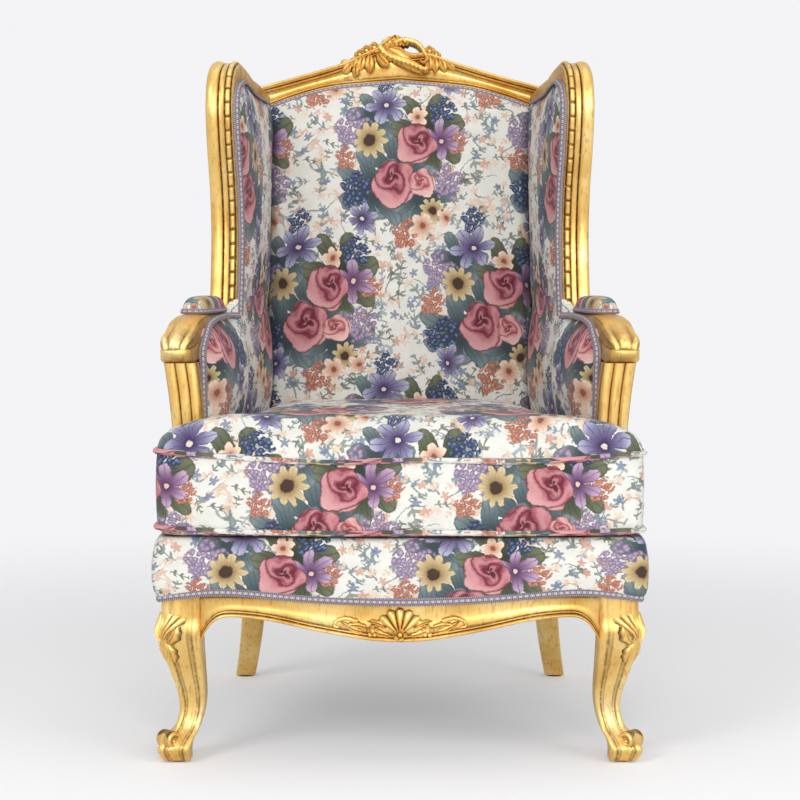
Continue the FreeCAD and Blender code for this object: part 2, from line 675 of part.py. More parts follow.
def wing_field(frame, *neighbours):
    """The outside wing: a flat panel inside its show wood."""
    outer = "wing_rail_thick / 2 - panel_inset"
    panel = prism("outside_wing_left_whole", wing_outline(), frame, f"{outer} - panel_thick", outer)
    return cut("outside_wing_left", panel, *neighbours)


def scaled(path, centre, factor):
    """A path drawn towards a centre."""
    def near(point):
        moved = centre + (Vector(*point) - centre) * factor
        return (moved.x, moved.y, 0)
    return [[near(p) for p in step] if isinstance(step, list) else near(step) for step in path]


def wing_pad(frame, *neighbours):
    """The inside wing's padding, crowned towards the sitter."""
    path = wing_outline()
    centre = Vector(size("wing_reach") * 0.45, size("(arm_top + wing_height) / 2"), 0)
    thick, face = size("wing_pad_thick"), size("wing_rail_thick / 2")
    base = face - size("panel_inset + panel_thick + soft_gap")
    levels = [(1, base), (1, 0), (0.985, 4 - thick), (0.9, -thick)]
    rings = [ring_at(scaled(path, centre, k), frame, z) for k, z in levels]
    return cut("wing_pad_left", feature("wing_pad_left_whole", straight_loft(rings)), *neighbours)


def tenon_joints():
    """Every tenon of the left half: name, low corner and spans along X, Y and Z, as formulas."""
    thick, length = "tenon_thick", "tenon_length + tenon_root"
    base, tall = f"({RAIL_BASE} + tenon_shoulder)", "rail_height - 2 * tenon_shoulder"
    front_y = f"{FACE_Y} + rail_thick / 2 - tenon_thick / 2"
    leg_x, leg_y = f"leg_block / 2 - {LEG_X} - tenon_length", f"{FACE_Y} + leg_block - tenon_length"
    post_y = f"{REAR_Y} - post_depth - tenon_root"
    rear_x, rear_y = f"post_width / 2 - {POST_X} - tenon_length", f"{POST_Y} + rail_thick / 2 - tenon_thick"
    side = size("(rail_thick - tenon_thick) / 2")
    leg_side = side_line(size(f"{FACE_Y} + leg_block"), side)
    post_side = side_line(size(f"{REAR_Y} - post_depth"), side)
    return [
        ("front_tenon", (leg_x, front_y, base), (length, thick, tall)),
        ("side_front_tenon", (str(leg_side), leg_y, base), (thick, length, tall)),
        ("side_rear_tenon", (str(post_side), post_y, base), (thick, length, tall)),
        ("back_tenon", (rear_x, rear_y, base), (length, thick, tall)),
    ]


def make_tenons():
    """The left half's tenons, and the mortises that take them with room for glue."""
    tenons, mortises = {}, []
    for name, corner, spans in tenon_joints():
        tenons[name] = box(name, corner, spans)
        mortises.append(box(f"{name}_mortise", [f"{c} - joint_play" for c in corner],
                            [f"{span} + joint_play * 2" for span in spans]))
    return tenons, mortises


def dowel_joints(frame):
    """Every dowel of the left half: name, middle, direction."""
    post_in = -size(f"{POST_X} - post_width / 2")
    half = size("dowel_length") / 2
    joints = []
    lower = up_back(size("lower_back_rail_height + lower_back_rail_width / 2"))
    top = up_back(size("post_top"))
    lean = size("top_splay") * lower / top
    joints.append(("lower_back_dowel", BACK.multVec(Vector(post_in - lean + 4, lower, 0)), (1, 0, 0)))
    rake = BACK.Rotation.multVec(Vector(0, 1, 0))
    post_head = BACK.multVec(Vector(-size(f"{POST_X} + top_splay"), top - 4, 0))
    joints.append(("crest_dowel", post_head, rake))
    arm_rear = post_front(size(ARM_Z))
    joints.append(("arm_rear_dowel", (arm_line(arm_rear), arm_rear - 2, size(ARM_Z)), (0, 1, 0)))
    post_y = size(ARM_POST_Y)
    foot_x = side_line(post_y, size("rail_thick") / 2)
    joints.append(("arm_post_foot_dowel", (foot_x, post_y + 10, size("rail_top")), (0, 0, 1)))
    joints.append(("arm_post_head_dowel", (-size(ARM_X) + 2, post_y, size(KNUCKLE_BASE)), (0, 0, 1)))
    low = wing_curve(size("wing_rail_width") / 2)[0]
    joints.append(("wing_foot_dowel", frame.multVec(Vector(low[0], size("arm_top") + 2, 0)), (0, 0, 1)))
    back = wing_curve(size("wing_rail_width") / 2)[-1]
    tip = frame.multVec(Vector(back[0], back[1] - 1, 0))
    crest_face = BACK.multVec(Vector(0, up_back(tip.z), size("crest_thick") / 2)).y
    joints.append(("wing_head_dowel", (tip.x, crest_face - half * 0.2, tip.z), (0, 1, 0)))
    return joints


def ring(centre, along, width, sides):
    """A section with flat sides across a direction."""
    across = along.cross(Vector(0, 0, 1)).normalize()
    corners = []
    for side in range(sides + 1):
        turn = 2 * math.pi * (side % sides) / sides
        spoke = across * math.cos(turn) + across.cross(along) * math.sin(turn)
        corners.append(centre + spoke * (width / 2))
    return Part.makePolygon(corners)


def tube(edges, width, sides):
    """A tube along tangent lines and arcs, each stretch pushed or turned from the end of the last one."""
    first = edges[0]
    section = ring(first.valueAt(first.FirstParameter), first.tangentAt(first.FirstParameter), width, sides)
    faces = []
    closed = (first.valueAt(first.FirstParameter) - edges[-1].valueAt(edges[-1].LastParameter)).Length < 1e-6
    if not closed:
        faces.append(Part.Face(section))
    for edge in edges:
        begin, end = edge.FirstParameter, edge.LastParameter
        if isinstance(edge.Curve, Part.Circle):
            centre, axis, turn = edge.Curve.Center, edge.Curve.Axis, math.degrees(end - begin)
            faces += section.revolve(centre, axis, turn).Faces
            section = section.rotated(centre, axis, turn)
        else:
            run = edge.valueAt(end) - edge.valueAt(begin)
            faces += section.extrude(run).Faces
            section = section.translated(run)
    if not closed:
        faces.append(Part.Face(section))
    shell = Part.makeShell(faces)
    shell.sewShape()
    solid = Part.makeSolid(Part.Shell(shell.Faces))
    return solid if solid.Volume > 0 else solid.reversed()


def seat_webbing():
    """Straps tacked from the front rail to the back rail."""
    front, rear = size(f"{FACE_Y} + rail_thick / 4"), size(f"{POST_Y} + rail_thick / 4")
    straps = []
    for number in range(SEAT_STRAPS):
        x = f"{number - (SEAT_STRAPS - 1) / 2} * web_spacing - web_width / 2"
        straps.append(box(f"seat_strap_{number + 1}", (x, str(front), "rail_top"),
                          ("web_width", str(rear - front), "web_thick")))
    return straps


def corner_blocks(leg, post):
    """Glue blocks inside the seat's corners, on the left."""
    reach, thick = size("block_reach"), size("rail_thick")
    top = "(rail_top - block_drop)"
    inner, rear = size(f"{FACE_Y} + rail_thick"), size(f"{POST_Y} - rail_thick / 2")
    leg_x, leg_y = -size(f"{LEG_X} - leg_block / 2"), size(f"{FACE_Y} + leg_block")
    front_end, back_end = leg_y + reach, rear - reach
    front = [(leg_x + reach, inner, 0), (leg_x, inner, 0), (leg_x, leg_y, 0),
             (side_line(leg_y, thick), leg_y, 0), (side_line(front_end, thick), front_end, 0)]
    post_x = -size(f"{POST_X} - post_width / 2")
    back = [(post_x + reach, rear, 0), (side_line(rear, thick), rear, 0),
            (side_line(back_end, thick), back_end, 0)]
    blocks = []
    for name, path in (("front", front), ("back", back)):
        sawn = prism(f"{name}_block", path, PLAN, f"{top} - block_height", top)
        blocks.append(cut(f"{name}_block_left", sawn, leg, post))
    return blocks


def back_webbing():
    """Webbing tacked to the front of the back frame, uprights over cross straps."""
    wide, thick, face = size("web_width"), size("web_thick"), size("post_depth / 2")
    low, high = up_back(size("lower_back_rail_height")) + 6, up_back(size("post_top"))
    reach = size(f"{POST_X} - post_width / 2 + 2")
    level = face + 0.2
    straps = []
    for number in range(1, 5):
        y = low + (high - low) * number / 5
        path = [(-reach, y - wide / 2, 0), (reach, y - wide / 2, 0), (reach, y + wide / 2, 0),
                (-reach, y + wide / 2, 0)]
        straps.append(prism(f"cross_strap_{number}", path, BACK, str(level), f"{level} + web_thick"))
    level += thick + 0.2
    for number in range(-1, 2):
        x = number * reach * 0.5
        path = [(x - wide / 2, low, 0), (x + wide / 2, low, 0), (x + wide / 2, high + 12, 0),
                (x - wide / 2, high + 12, 0)]
        straps.append(prism(f"upright_strap_{number + 2}", path, BACK, str(level), f"{level} + web_thick"))
    return straps


def back_top_edge(inset, half):
    """The inside back's top edge under the crest, from right to left: its start, then an arc."""
    seat = up_back(size("post_top")) - inset
    return (half, seat + 6, 0), [(0, seat + size("crest_rise + crest_lap"), 0), (-half, seat + 6, 0)]


def inside_back(*neighbours):
    """Inside back: thin at its edge, crowned at its middle, up to the crest's lower edge."""
    low = up_back(size("deck_top"))
    start = size("post_depth / 2 + web_thick * 2 + soft_gap")

    def path(inset):
        """The back's outline, drawn in by inset."""
        half = size("seat_width_back / 2 - back_pad_inset") - inset
        return [(-half, low + inset, 0), (half, low + inset, 0), *back_top_edge(inset, half)]

    edge, middle = size("back_pad_edge"), size("back_pad_thick")
    levels = [(1, start), (0, start + edge * 0.6), (5, start + edge), (40, start + middle * 0.82),
              (95, start + middle * 0.97), (140, start + middle)]
    rings = [ring_at(path(inset), BACK, z) for inset, z in levels]
    return cut("inside_back", feature("inside_back_whole", straight_loft(rings)), *neighbours)


def outside_back(posts, crest, rail):
    """Outside back: a flat panel set between the posts, behind the frame."""
    half, low = size(POST_X), up_back(size("rail_top")) + 2
    rear = "-post_depth / 2 + panel_inset"
    path = [(-half, low, 0), (half, low, 0), *back_top_edge(size("crest_lap") / 2, half)]
    panel = prism("outside_back_whole", path, BACK, rear, f"{rear} + panel_thick")
    return cut("outside_back", panel, *posts, crest, rail)


def inside_arm_line(y):
    """X of the left inside arm at y, before it swells."""
    front_y, back_y = size(f"{ARM_POST_Y} + arm_post_depth"), size(f"{POST_Y} - inside_arm_bend")
    front_x = -size("seat_width_front / 2 - inside_arm_front")
    back_x = -size("seat_width_back / 2 - inside_arm_back")
    return min(front_x + (back_x - front_x) * (y - front_y) / (back_y - front_y), back_x)


def inside_arm(*neighbours):
    """Inside arm: padding from the seat rail to the arm, swelling towards the sitter."""
    front = size(f"{ARM_POST_Y} + arm_post_depth / 2 + inside_arm_setback")
    skin = size("panel_inset + panel_thick + soft_gap")
    low, high = size("rail_top + soft_gap"), size(f"{ARM_Z} - soft_gap")
    swell = size("inside_arm_swell")
    rings = []
    for up, out in ((0, 0.1), (0.5, 0.2), (0.75, 1), (1, 0.3)):
        z = low + (high - low) * up
        rear = post_front(z) - size("web_thick") * 2 - size("soft_gap") * 2
        bend = size(f"{POST_Y} - inside_arm_bend")
        middle = (front + bend) / 2
        path = [(side_line(front, skin), front, 0), (inside_arm_line(front), front, 0),
                [(inside_arm_line(middle) + swell * out, middle, 0), (inside_arm_line(bend), bend, 0)],
                (inside_arm_line(rear), rear, 0), (side_line(rear, skin), rear, 0)]
        rings.append(ring_at(path, PLAN, z))
    return cut("inside_arm_left", feature("inside_arm_left_whole", straight_loft(rings)), *neighbours)


def outside_arm(*neighbours):
    """Outside arm: a flat panel between the side rail, the arm, its support and the back post."""
    front, rear = size(f"{ARM_POST_Y} + arm_post_depth / 3"), size("overall_depth / 2")
    inset, thick = size("panel_inset"), size("panel_inset + panel_thick")
    low, high = size("rail_top + soft_gap"), size("arm_top - arm_thick + panel_thick")
    half_post = size("post_depth / 2")
    plan = [(side_line(front, inset), front, 0), (side_line(rear, inset), rear, 0),
            (side_line(rear, thick), rear, 0), (side_line(front, thick), front, 0)]
    face = [(front, low, 0), (post_front(low) + half_post, low, 0),
            (post_front(high) + half_post, high, 0), (front, high, 0)]
    panel = common("outside_arm_left_whole", prism("outside_arm_plan", plan, PLAN, "rail_top", "arm_top"),
                   prism("outside_arm_face", face, SIDE, "-seat_width_front / 2", "0"))
    return cut("outside_arm_left", panel, *neighbours)


def arm_pad(frame):
    """Pad on top of an arm, domed across and rounded at its ends."""
    rise, base = size("arm_pad_height"), size("arm_top")
    front = size(f"{ARM_FRONT_Y} + arm_pad_setback")
    wing_foot = frame.multVec(Vector(*wing_curve(size("wing_rail_width") / 2)[0]))
    length = wing_foot.y - size("arm_pad_room") - front
    stations = [(0, 0.5, 0.3), (0.05, 0.72, 0.68), (0.14, 0.88, 0.9), (0.35, 0.96, 1), (0.8, 0.96, 1),
                (0.95, 0.86, 0.8), (1, 0.7, 0.4)]
    rings = []
    for along, width, height in stations:
        y = front + length * along
        half = size("arm_width_front - arm_pad_edge") / 2 * width
        x, crown = arm_line(y), base + rise * height
        shoulder = base + rise * height * 0.4
        path = [(x - half, base, 0), (x + half, base, 0), (x + half, shoulder, 0),
                [(x, crown, 0), (x - half, shoulder, 0)]]
        rings.append(ring_at(path, FRONT, -y))
    return feature("arm_pad_left", straight_loft(rings))


def rounded(corners, radius):
    """For each corner of a closed run of straight sides, the start, middle and end of its arc."""
    turns = []
    for number, corner in enumerate(corners):
        here = Vector(*corner)
        back = (Vector(*corners[number - 1]) - here).normalize()
        ahead = (Vector(*corners[(number + 1) % len(corners)]) - here).normalize()
        half_angle = back.getAngle(ahead) / 2
        inwards = (back + ahead).normalize()
        reach = radius / math.tan(half_angle)
        middle = here + inwards * (radius / math.sin(half_angle) - radius)
        turns.append([tuple(here + back * reach), tuple(middle), tuple(here + ahead * reach)])
    return turns


def bowed_corner(half, front, bow, radius):
    """The arc that joins a left side at -half to a front that bows out by bow, tangent to both."""
    front_radius = (half ** 2 + bow ** 2) / (2 * bow)
    centre = Vector(0, front + front_radius, 0)
    x = radius - half
    corner = Vector(x, centre.y - math.sqrt((front_radius - radius) ** 2 - x ** 2), 0)
    outwards = (corner - centre).normalize()
    middle = (outwards + Vector(-1, 0, 0)).normalize()
    return [tuple(corner + direction * radius) for direction in (Vector(-1, 0, 0), middle, outwards)]


def seat_outline(front, ear_half, ear_back, gap, rear, bow, radius):
    """T-shaped plan: ears in front of the arm supports, then the taper between the arms."""
    ear = inside_arm_line(ear_back) + gap
    back = inside_arm_line(rear) + gap
    corners = [(-ear_half, front + bow, 0), (ear_half, front + bow, 0), (ear_half, ear_back, 0),
               (-ear, ear_back, 0), (-back, rear, 0), (back, rear, 0), (ear, ear_back, 0),
               (-ear_half, ear_back, 0)]
    turns = rounded(corners, radius)
    turns[0] = bowed_corner(ear_half, front, bow, radius)
    turns[1] = [(-x, y, z) for x, y, z in reversed(turns[0])]
    path = [turns[0][2], [(0, front, 0), turns[1][0]], turns[1][1:]]
    for turn in turns[2:]:
        path += [turn[0], turn[1:]]
    return [*path, turns[0][0], turns[0][1:]]


def seat_deck():
    """Deck and its stuffed edge: a pad over the webbing whose front swells over the rails."""
    gap, bulge = size("soft_gap") * 3, size("deck_bulge")
    ear_back, rear = size(f"{ARM_FRONT_Y} - soft_gap"), size(f"{POST_Y} - 52")
    face, half = size(f"{FACE_Y} - front_bow"), size("seat_width_front") / 2
    bow, top = size("front_bow"), size("deck_top")
    low = size("rail_top - deck_skirt")
    levels = [(low, 2), (low + (top - low) * 0.2, bulge * 0.72), (low + (top - low) * 0.45, bulge),
              (low + (top - low) * 0.75, bulge * 0.8), (top - 4, bulge * 0.3), (top, 0)]
    corner = size("deck_round")
    rings = [ring_at(seat_outline(face - out, half + out, ear_back, gap, rear, bow, corner), PLAN, z)
             for z, out in levels]
    pad = feature("seat_deck_whole", straight_loft(rings))
    room = size("soft_gap") / 2
    edge = half + room
    rails = [(-edge, face + bow - room, 0), [(0, face - room, 0), (edge, face + bow - room, 0)],
             (edge, rear + 40, 0), (-edge, rear + 40, 0)]
    frame = prism("seat_deck_room", rails, PLAN, "0", "rail_top + web_thick + burlap_thick + soft_gap")
    return cut("seat_deck", pad, frame)


def burlap():
    """Burlap stretched over the webbing."""
    level = "(rail_top + web_thick)"
    half, front = size("web_spacing") * SEAT_STRAPS / 2, size(f"{FACE_Y} + rail_thick")
    rear = post_front(size("rail_top")) - 12
    path = [(-half, front, 0), (half, front, 0), (half * 0.92, rear, 0), (-half * 0.92, rear, 0)]
    return prism("burlap", path, PLAN, level, f"{level} + burlap_thick")


def dust_cover(legs, posts):
    """Cambric under the seat, on the corner blocks' undersides."""
    gap, thick = size("soft_gap"), size("rail_thick")
    front, rear = size(f"{FACE_Y} + rail_thick") + gap, size(f"{POST_Y} - rail_thick / 2") - gap
    left_front, left_rear = side_line(front, thick + gap), side_line(rear, thick + gap)
    path = [(left_front, front, 0), (-left_front, front, 0), (-left_rear, rear, 0), (left_rear, rear, 0)]
    top = "(rail_top - block_drop - block_height)"
    sheet_piece = prism("dust_cover_whole", path, PLAN, f"{top} - cambric_thick", top)
    return cut("dust_cover", sheet_piece, *legs, *posts)


def cushion_plan(shrink, rise=0.0):
    """The cushion's plan, smaller all round by shrink. rise draws it in from 0 at the seam to 1 at the
    top of the crown."""
    front = shrink - size("overall_depth") / 2
    half = size("seat_width_front / 2 + cushion_overhang") - shrink
    ear_back = size(f"{ARM_FRONT_Y} - cushion_gap") - shrink
    back_room = size("back_pad_thick + web_thick * 2 + cushion_gap + soft_gap * 2")
    rear = post_front(size("deck_top")) - back_room - shrink
    gap, bow, corner = size("cushion_gap") + shrink, size("front_bow"), size("cushion_round")
    ear_depth, depth = ear_back - front, rear - front
    return seat_outline(front + ear_depth * 0.42 * rise, half * (1 - 0.5 * rise),
                        ear_back - ear_depth * 0.08 * rise, gap + half * 0.4 * rise,
                        rear - depth * 0.28 * rise, bow, corner - corner * 0.65 * rise)


def cushion_seams():
    """Heights of the cushion's lower and upper seams."""
    low = size("deck_top + soft_gap / 2 + piping_width")
    return low, low + size("cushion_height")


def cushion_shape(skin):
    """The loose cushion inside a skin: drawn-in sides between two seams, a crown on top, flat below."""
    edge = size("piping_width + joint_play * 2") + skin
    lower, upper = cushion_seams()
    lower, upper = lower + skin, upper - skin
    low, crown, waist = size("deck_top + soft_gap / 2") + skin, size("cushion_crown"), size("cushion_waist")
    levels = [(edge + 10, 0, low), (edge, 0, lower), (edge + waist, 0, (lower + upper) / 2)]
    levels += [(edge, up, upper + crown * share)
               for up, share in ((0, 0), (0.06, 0.22), (0.2, 0.48), (0.4, 0.73), (0.7, 0.93), (1, 1))]
    return straight_loft([ring_at(cushion_plan(shrink, up), PLAN, z) for shrink, up, z in levels])


def lifted(path, height):
    """A flat path lifted to a height."""
    return [[(x, y, height) for x, y, _ in step] if isinstance(step, list) else (*step[:2], height)
            for step in path]


def cushion_piping(name, height):
    """Piping sewn round a seam of the cushion."""
    path = lifted(cushion_plan(size("piping_width") / 2), height)
    edges = [edge.toShape() for edge in outline(path)]
    return feature(name, tube(edges, size("piping_width"), PIPING_SIDES))


def glides():
    """Felt glides under the four feet, on the left."""
    rear_x, rear_y = f"{POST_X} + rear_leg_splay", f"{POST_Y} + rear_leg_kick"
    feet = [(f"-{LEG_X} - foot_out", f"{LEG_Y} - foot_out"), (f"-({rear_x})", rear_y)]
    return [rod(f"glide_{n}", "glide_width", "glide_thick", (size(x), size(y), size("glide_thick / 2")),
                (0, 0, 1)) for n, (x, y) in enumerate(feet, 1)]


# Blanks of the left half and of the middle
leg = front_leg()
post = back_post()
doc.recompute()
leg_right, post_right = mirrored("leg_right_blank", leg), mirrored("post_right_blank", post)
posts = [post, post_right]
apron, boss = front_rail()
flank = side_rail()
rear_rail = box("back_rail_blank", (f"post_width / 2 - {POST_X}", f"{POST_Y} - rail_thick / 2", RAIL_BASE),
                (f"2 * {POST_X} - post_width", "rail_thick", "rail_height"))
lower_rail = lower_back_rail(posts)
crest = crest_rail()
behind_posts = back_zone("behind_posts", "post_depth / 2")
behind_webbing = back_zone("behind_webbing", "post_depth / 2 + web_thick * 2 + soft_gap")
arm_piece = arm(behind_posts)
support = arm_support()
wing_place = wing_frame()
wing = wing_rail(wing_place, arm_piece, behind_posts, crest)
doc.recompute()

# Tenons and mortises, dowels and the holes drilled for them
tenons, mortises = make_tenons()
dowels, holes = [], []
for name, point, direction in dowel_joints(wing_place):
    dowels.append(rod(name, "dowel_width", "dowel_length", point, direction))
    holes.append(rod(f"{name}_hole", "dowel_width + joint_play * 2", "dowel_length + joint_play * 2",
                     point, direction))
left_holes = group("dowel_holes_left", holes)
right_holes = mirrored("dowel_holes_right", left_holes)
flank = fuse("side_rail_rear_tenoned", fuse("side_rail_tenoned", flank, tenons["side_front_tenon"]),
             tenons["side_rear_tenon"])
for name in ("front_tenon", "back_tenon"):
    tenons[f"{name}_right"] = mirrored(f"{name}_right", tenons[name])
apron = fuse("front_rail_right_tenoned", fuse("front_rail_tenoned", apron, tenons["front_tenon"]),
             tenons["front_tenon_right"])
apron = fuse("front_rail", apron, boss)
rear_rail = fuse("back_rail", fuse("back_rail_tenoned", rear_rail, tenons["back_tenon"]),
                 tenons["back_tenon_right"])
doc.recompute()

parts = {}


def keep(name, piece):
    """Puts a finished piece on the list of parts under its name."""
    piece.Label = name
    parts[name] = piece
    return piece


def keep_pair(name, piece):
    """Keeps a left-hand piece and its right-hand mirror."""
    keep(f"{name}_left", piece)
    keep(f"{name}_right", mirrored(f"{name}_right", piece))


keep_pair("front_leg", cut("front_leg_left", leg, *mortises))
keep_pair("back_post", cut("back_post_left", post, left_holes, *mortises))
keep_pair("side_rail", cut("side_rail_left", flank, left_holes))
keep("front_rail", apron)
keep("back_rail", rear_rail)
keep("lower_back_rail", cut("lower_back_rail", lower_rail, left_holes, right_holes))
keep("crest_rail", cut("crest_rail", crest, left_holes, right_holes))
keep_pair("arm", cut("arm_left", arm_piece, left_holes))
keep_pair("arm_post", cut("arm_post_left", support, left_holes))
keep_pair("wing_rail", cut("wing_rail_left", wing, left_holes))

dowels_left = group("dowels_left", dowels)
keep("dowels", group("dowels", [dowels_left, mirrored("dowels_right", dowels_left)]))
blocks_left = group("corner_blocks_left", corner_blocks(leg, post))
keep("corner_blocks", group("corner_blocks", [blocks_left, mirrored("corner_blocks_right", blocks_left)]))
glides_left = group("glides_left", glides())
keep("foot_glides", group("foot_glides", [glides_left, mirrored("glides_right", glides_left)]))

keep("seat_webbing", group("seat_webbing", seat_webbing()))
keep("back_webbing", group("back_webbing", back_webbing()))
keep("burlap", burlap())
keep("dust_cover", dust_cover([leg, leg_right], posts))
keep("seat_deck", seat_deck())
keep("inside_back", inside_back(wing, mirrored("wing_right_blank", wing), crest))
keep("outside_back", outside_back(posts, crest, rear_rail))
keep_pair("wing_pad", wing_pad(wing_place, wing, arm_piece, behind_webbing, crest))
keep_pair("outside_wing", wing_field(wing_place, wing, arm_piece, behind_posts, crest))
keep_pair("inside_arm", inside_arm(arm_piece, support))
keep_pair("outside_arm", outside_arm(arm_piece, support, behind_posts))
keep_pair("arm_pad", arm_pad(wing_place))
core = cushion_shape(size("cover_thick"))
keep("cushion_cover", feature("cushion_cover", cushion_shape(0).cut(core)))
keep("cushion_core", feature("cushion_core", core))
lower_seam, upper_seam = cushion_seams()
keep("cushion_piping_bottom", cushion_piping("cushion_piping_bottom", lower_seam))
keep("cushion_piping_top", cushion_piping("cushion_piping_top", upper_seam))
doc.recompute()

# Nothing is written unless every object and every part is sound
failed = [o.Name for o in doc.Objects if {"Invalid", "Error"} & set(o.State)]
failed += [name for name, piece in parts.items() if piece.Shape.isNull() or not piece.Shape.isValid()]
if failed:
    raise SystemExit(f"these failed: {failed}")
os.makedirs("parts", exist_ok=True)
for name, piece in parts.items():
    piece.Shape.exportStep(f"parts/{name}.step")
    print(name, len(piece.Shape.Solids), round(piece.Shape.Volume / 1000, 1), "cm3")
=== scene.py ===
"""Wing chair: carved gilt frame, floral upholstery, gimp braid and a loose seat cushion."""
import math

import bmesh
import bpy
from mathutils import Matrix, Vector, noise


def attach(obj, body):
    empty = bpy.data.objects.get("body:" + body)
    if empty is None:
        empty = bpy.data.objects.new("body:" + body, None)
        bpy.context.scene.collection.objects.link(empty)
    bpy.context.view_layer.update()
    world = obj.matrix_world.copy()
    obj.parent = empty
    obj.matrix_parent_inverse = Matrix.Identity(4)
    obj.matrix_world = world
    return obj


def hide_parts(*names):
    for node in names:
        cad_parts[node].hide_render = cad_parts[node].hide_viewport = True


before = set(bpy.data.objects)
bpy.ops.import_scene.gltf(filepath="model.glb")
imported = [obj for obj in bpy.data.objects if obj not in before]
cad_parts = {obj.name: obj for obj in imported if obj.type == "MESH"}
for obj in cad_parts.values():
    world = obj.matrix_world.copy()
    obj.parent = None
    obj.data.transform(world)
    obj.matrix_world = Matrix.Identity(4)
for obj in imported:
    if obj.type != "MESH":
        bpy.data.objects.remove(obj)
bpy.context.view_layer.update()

MM = 0.001
SIDES = {"left": 1, "right": -1}

# Main sizes of the solids, in millimetres
FACE_Y = -345
RAIL_TOP = 270
DECK_TOP = 335
ARM_TOP = 655
KNUCKLE_BASE = 583
ARM_FRONT = -247
SUPPORT_Y = -221
POST_X = 252
POST_Y = 237
POST_TOP = 1005
RAKE = math.radians(8.13487)
BACK_SEAT = 742.47
BACK_TOP = 870.6
LOWER_SEAM = 343.5
UPPER_SEAM = 447.5
SIDE_START = -285
SIDE_RUN = 504
LEG = Vector((-320, -315, 0))


def back_point(x, up, out):
    """A point in the raked back's frame: across, up the back, and out towards the sitter."""
    sine, cosine = math.sin(RAKE), math.cos(RAKE)
    return Vector((x, POST_Y + up * sine - out * cosine, RAIL_TOP + up * cosine + out * sine))


WING_ORIGIN = Vector((-250, 303.4, 0))
WING_FORWARD = Vector((-0.111109, -0.993808, 0))
WING_OUT = Vector((-0.993808, 0.111109, 0))


def wing_point(forward, height, out):
    """A point in the left wing's frame: forward from the back post, up, and out from the sitter."""
    return WING_ORIGIN + WING_FORWARD * forward + WING_OUT * out + Vector((0, 0, height))


def side_line(y, inset=0):
    """X of the left side rail's outer face."""
    return -346 + 76 * (y - SIDE_START) / SIDE_RUN + inset


def arm_line(y):
    """X of the left arm's middle."""
    return -335 + 79 * (y + 226) / 500


def inside_line(y):
    """X of the left inside arm's face."""
    return min(-300 + 35.1 * (y + 200) / 200, -232)


def post_front(height):
    """Y of a back post's front face."""
    return POST_Y - 18 + math.tan(RAKE) * (height - RAIL_TOP)


def at(keys, x):
    """A smooth curve through keys, read at x."""
    if x <= keys[0][0]:
        return keys[0][1]
    if x >= keys[-1][0]:
        return keys[-1][1]
    index = max(i for i in range(len(keys) - 1) if keys[i][0] <= x)

    def slope(i):
        low, high = max(i - 1, 0), min(i + 1, len(keys) - 1)
        return (keys[high][1] - keys[low][1]) / (keys[high][0] - keys[low][0])

    (x0, y0), (x1, y1) = keys[index], keys[index + 1]
    span = x1 - x0
    t = (x - x0) / span
    return ((2 * t ** 3 - 3 * t ** 2 + 1) * y0 + (t ** 3 - 2 * t ** 2 + t) * span * slope(index)
            + (3 * t ** 2 - 2 * t ** 3) * y1 + (t ** 3 - t ** 2) * span * slope(index + 1))


def spread(low, high, steps):
    """Even values from low to high."""
    return [low + (high - low) * i / steps for i in range(steps + 1)]


def squared(turn, power):
    """Radius of a rounded square of half width 1, at an angle."""
    return 1 / (abs(math.cos(turn)) ** power + abs(math.sin(turn)) ** power) ** (1 / power)


def smooth_path(keys, count):
    """Evenly spaced points on a smooth curve through key points."""
    steps, last = 24, len(keys) - 1
    dense = []
    for i in range(last):
        p = [keys[max(i - 1, 0)], keys[i], keys[i + 1], keys[min(i + 2, last)]]
        for step in range(steps):
            t = step / steps
            dense.append(0.5 * (2 * p[1] + (p[2] - p[0]) * t + (2 * p[0] - 5 * p[1] + 4 * p[2] - p[3]) * t * t
                                + (3 * p[1] - p[0] - 3 * p[2] + p[3]) * t ** 3))
    return even([*dense, keys[-1]], count)


def even(points, count, closed=False):
    """Points at equal distances along a run of points. A closed run leaves out its last point."""
    lengths = [0.0]
    for a, b in zip(points, points[1:]):
        lengths.append(lengths[-1] + (b - a).length)
    steps = count if closed else count - 1
    found, index = [], 0
    for step in range(count):
        goal = lengths[-1] * step / steps
        while index < len(points) - 2 and lengths[index + 1] < goal:
            index += 1
        run = lengths[index + 1] - lengths[index]
        share = (goal - lengths[index]) / run if run > 1e-9 else 0
        found.append(points[index].lerp(points[index + 1], min(max(share, 0), 1)))
    return found


def ring_faces(rings, size, caps=True, closed=False):
    """Faces between rings of points, and at the two ends."""
    faces = []
    for r in range(rings if closed else rings - 1):
        low, high = r * size, ((r + 1) % rings) * size
        for k in range(size):
            n = (k + 1) % size
            faces.append((low + k, low + n, high + n, high + k))
    if caps and not closed:
        faces.append(tuple(reversed(range(size))))
        faces.append(tuple((rings - 1) * size + k for k in range(size)))
    return faces


def grid_faces(columns, rows):
    """Faces of a sheet of points, row after row."""
    return [(r * columns + c, r * columns + c + 1, (r + 1) * columns + c + 1, (r + 1) * columns + c)
            for r in range(rows - 1) for c in range(columns - 1)]


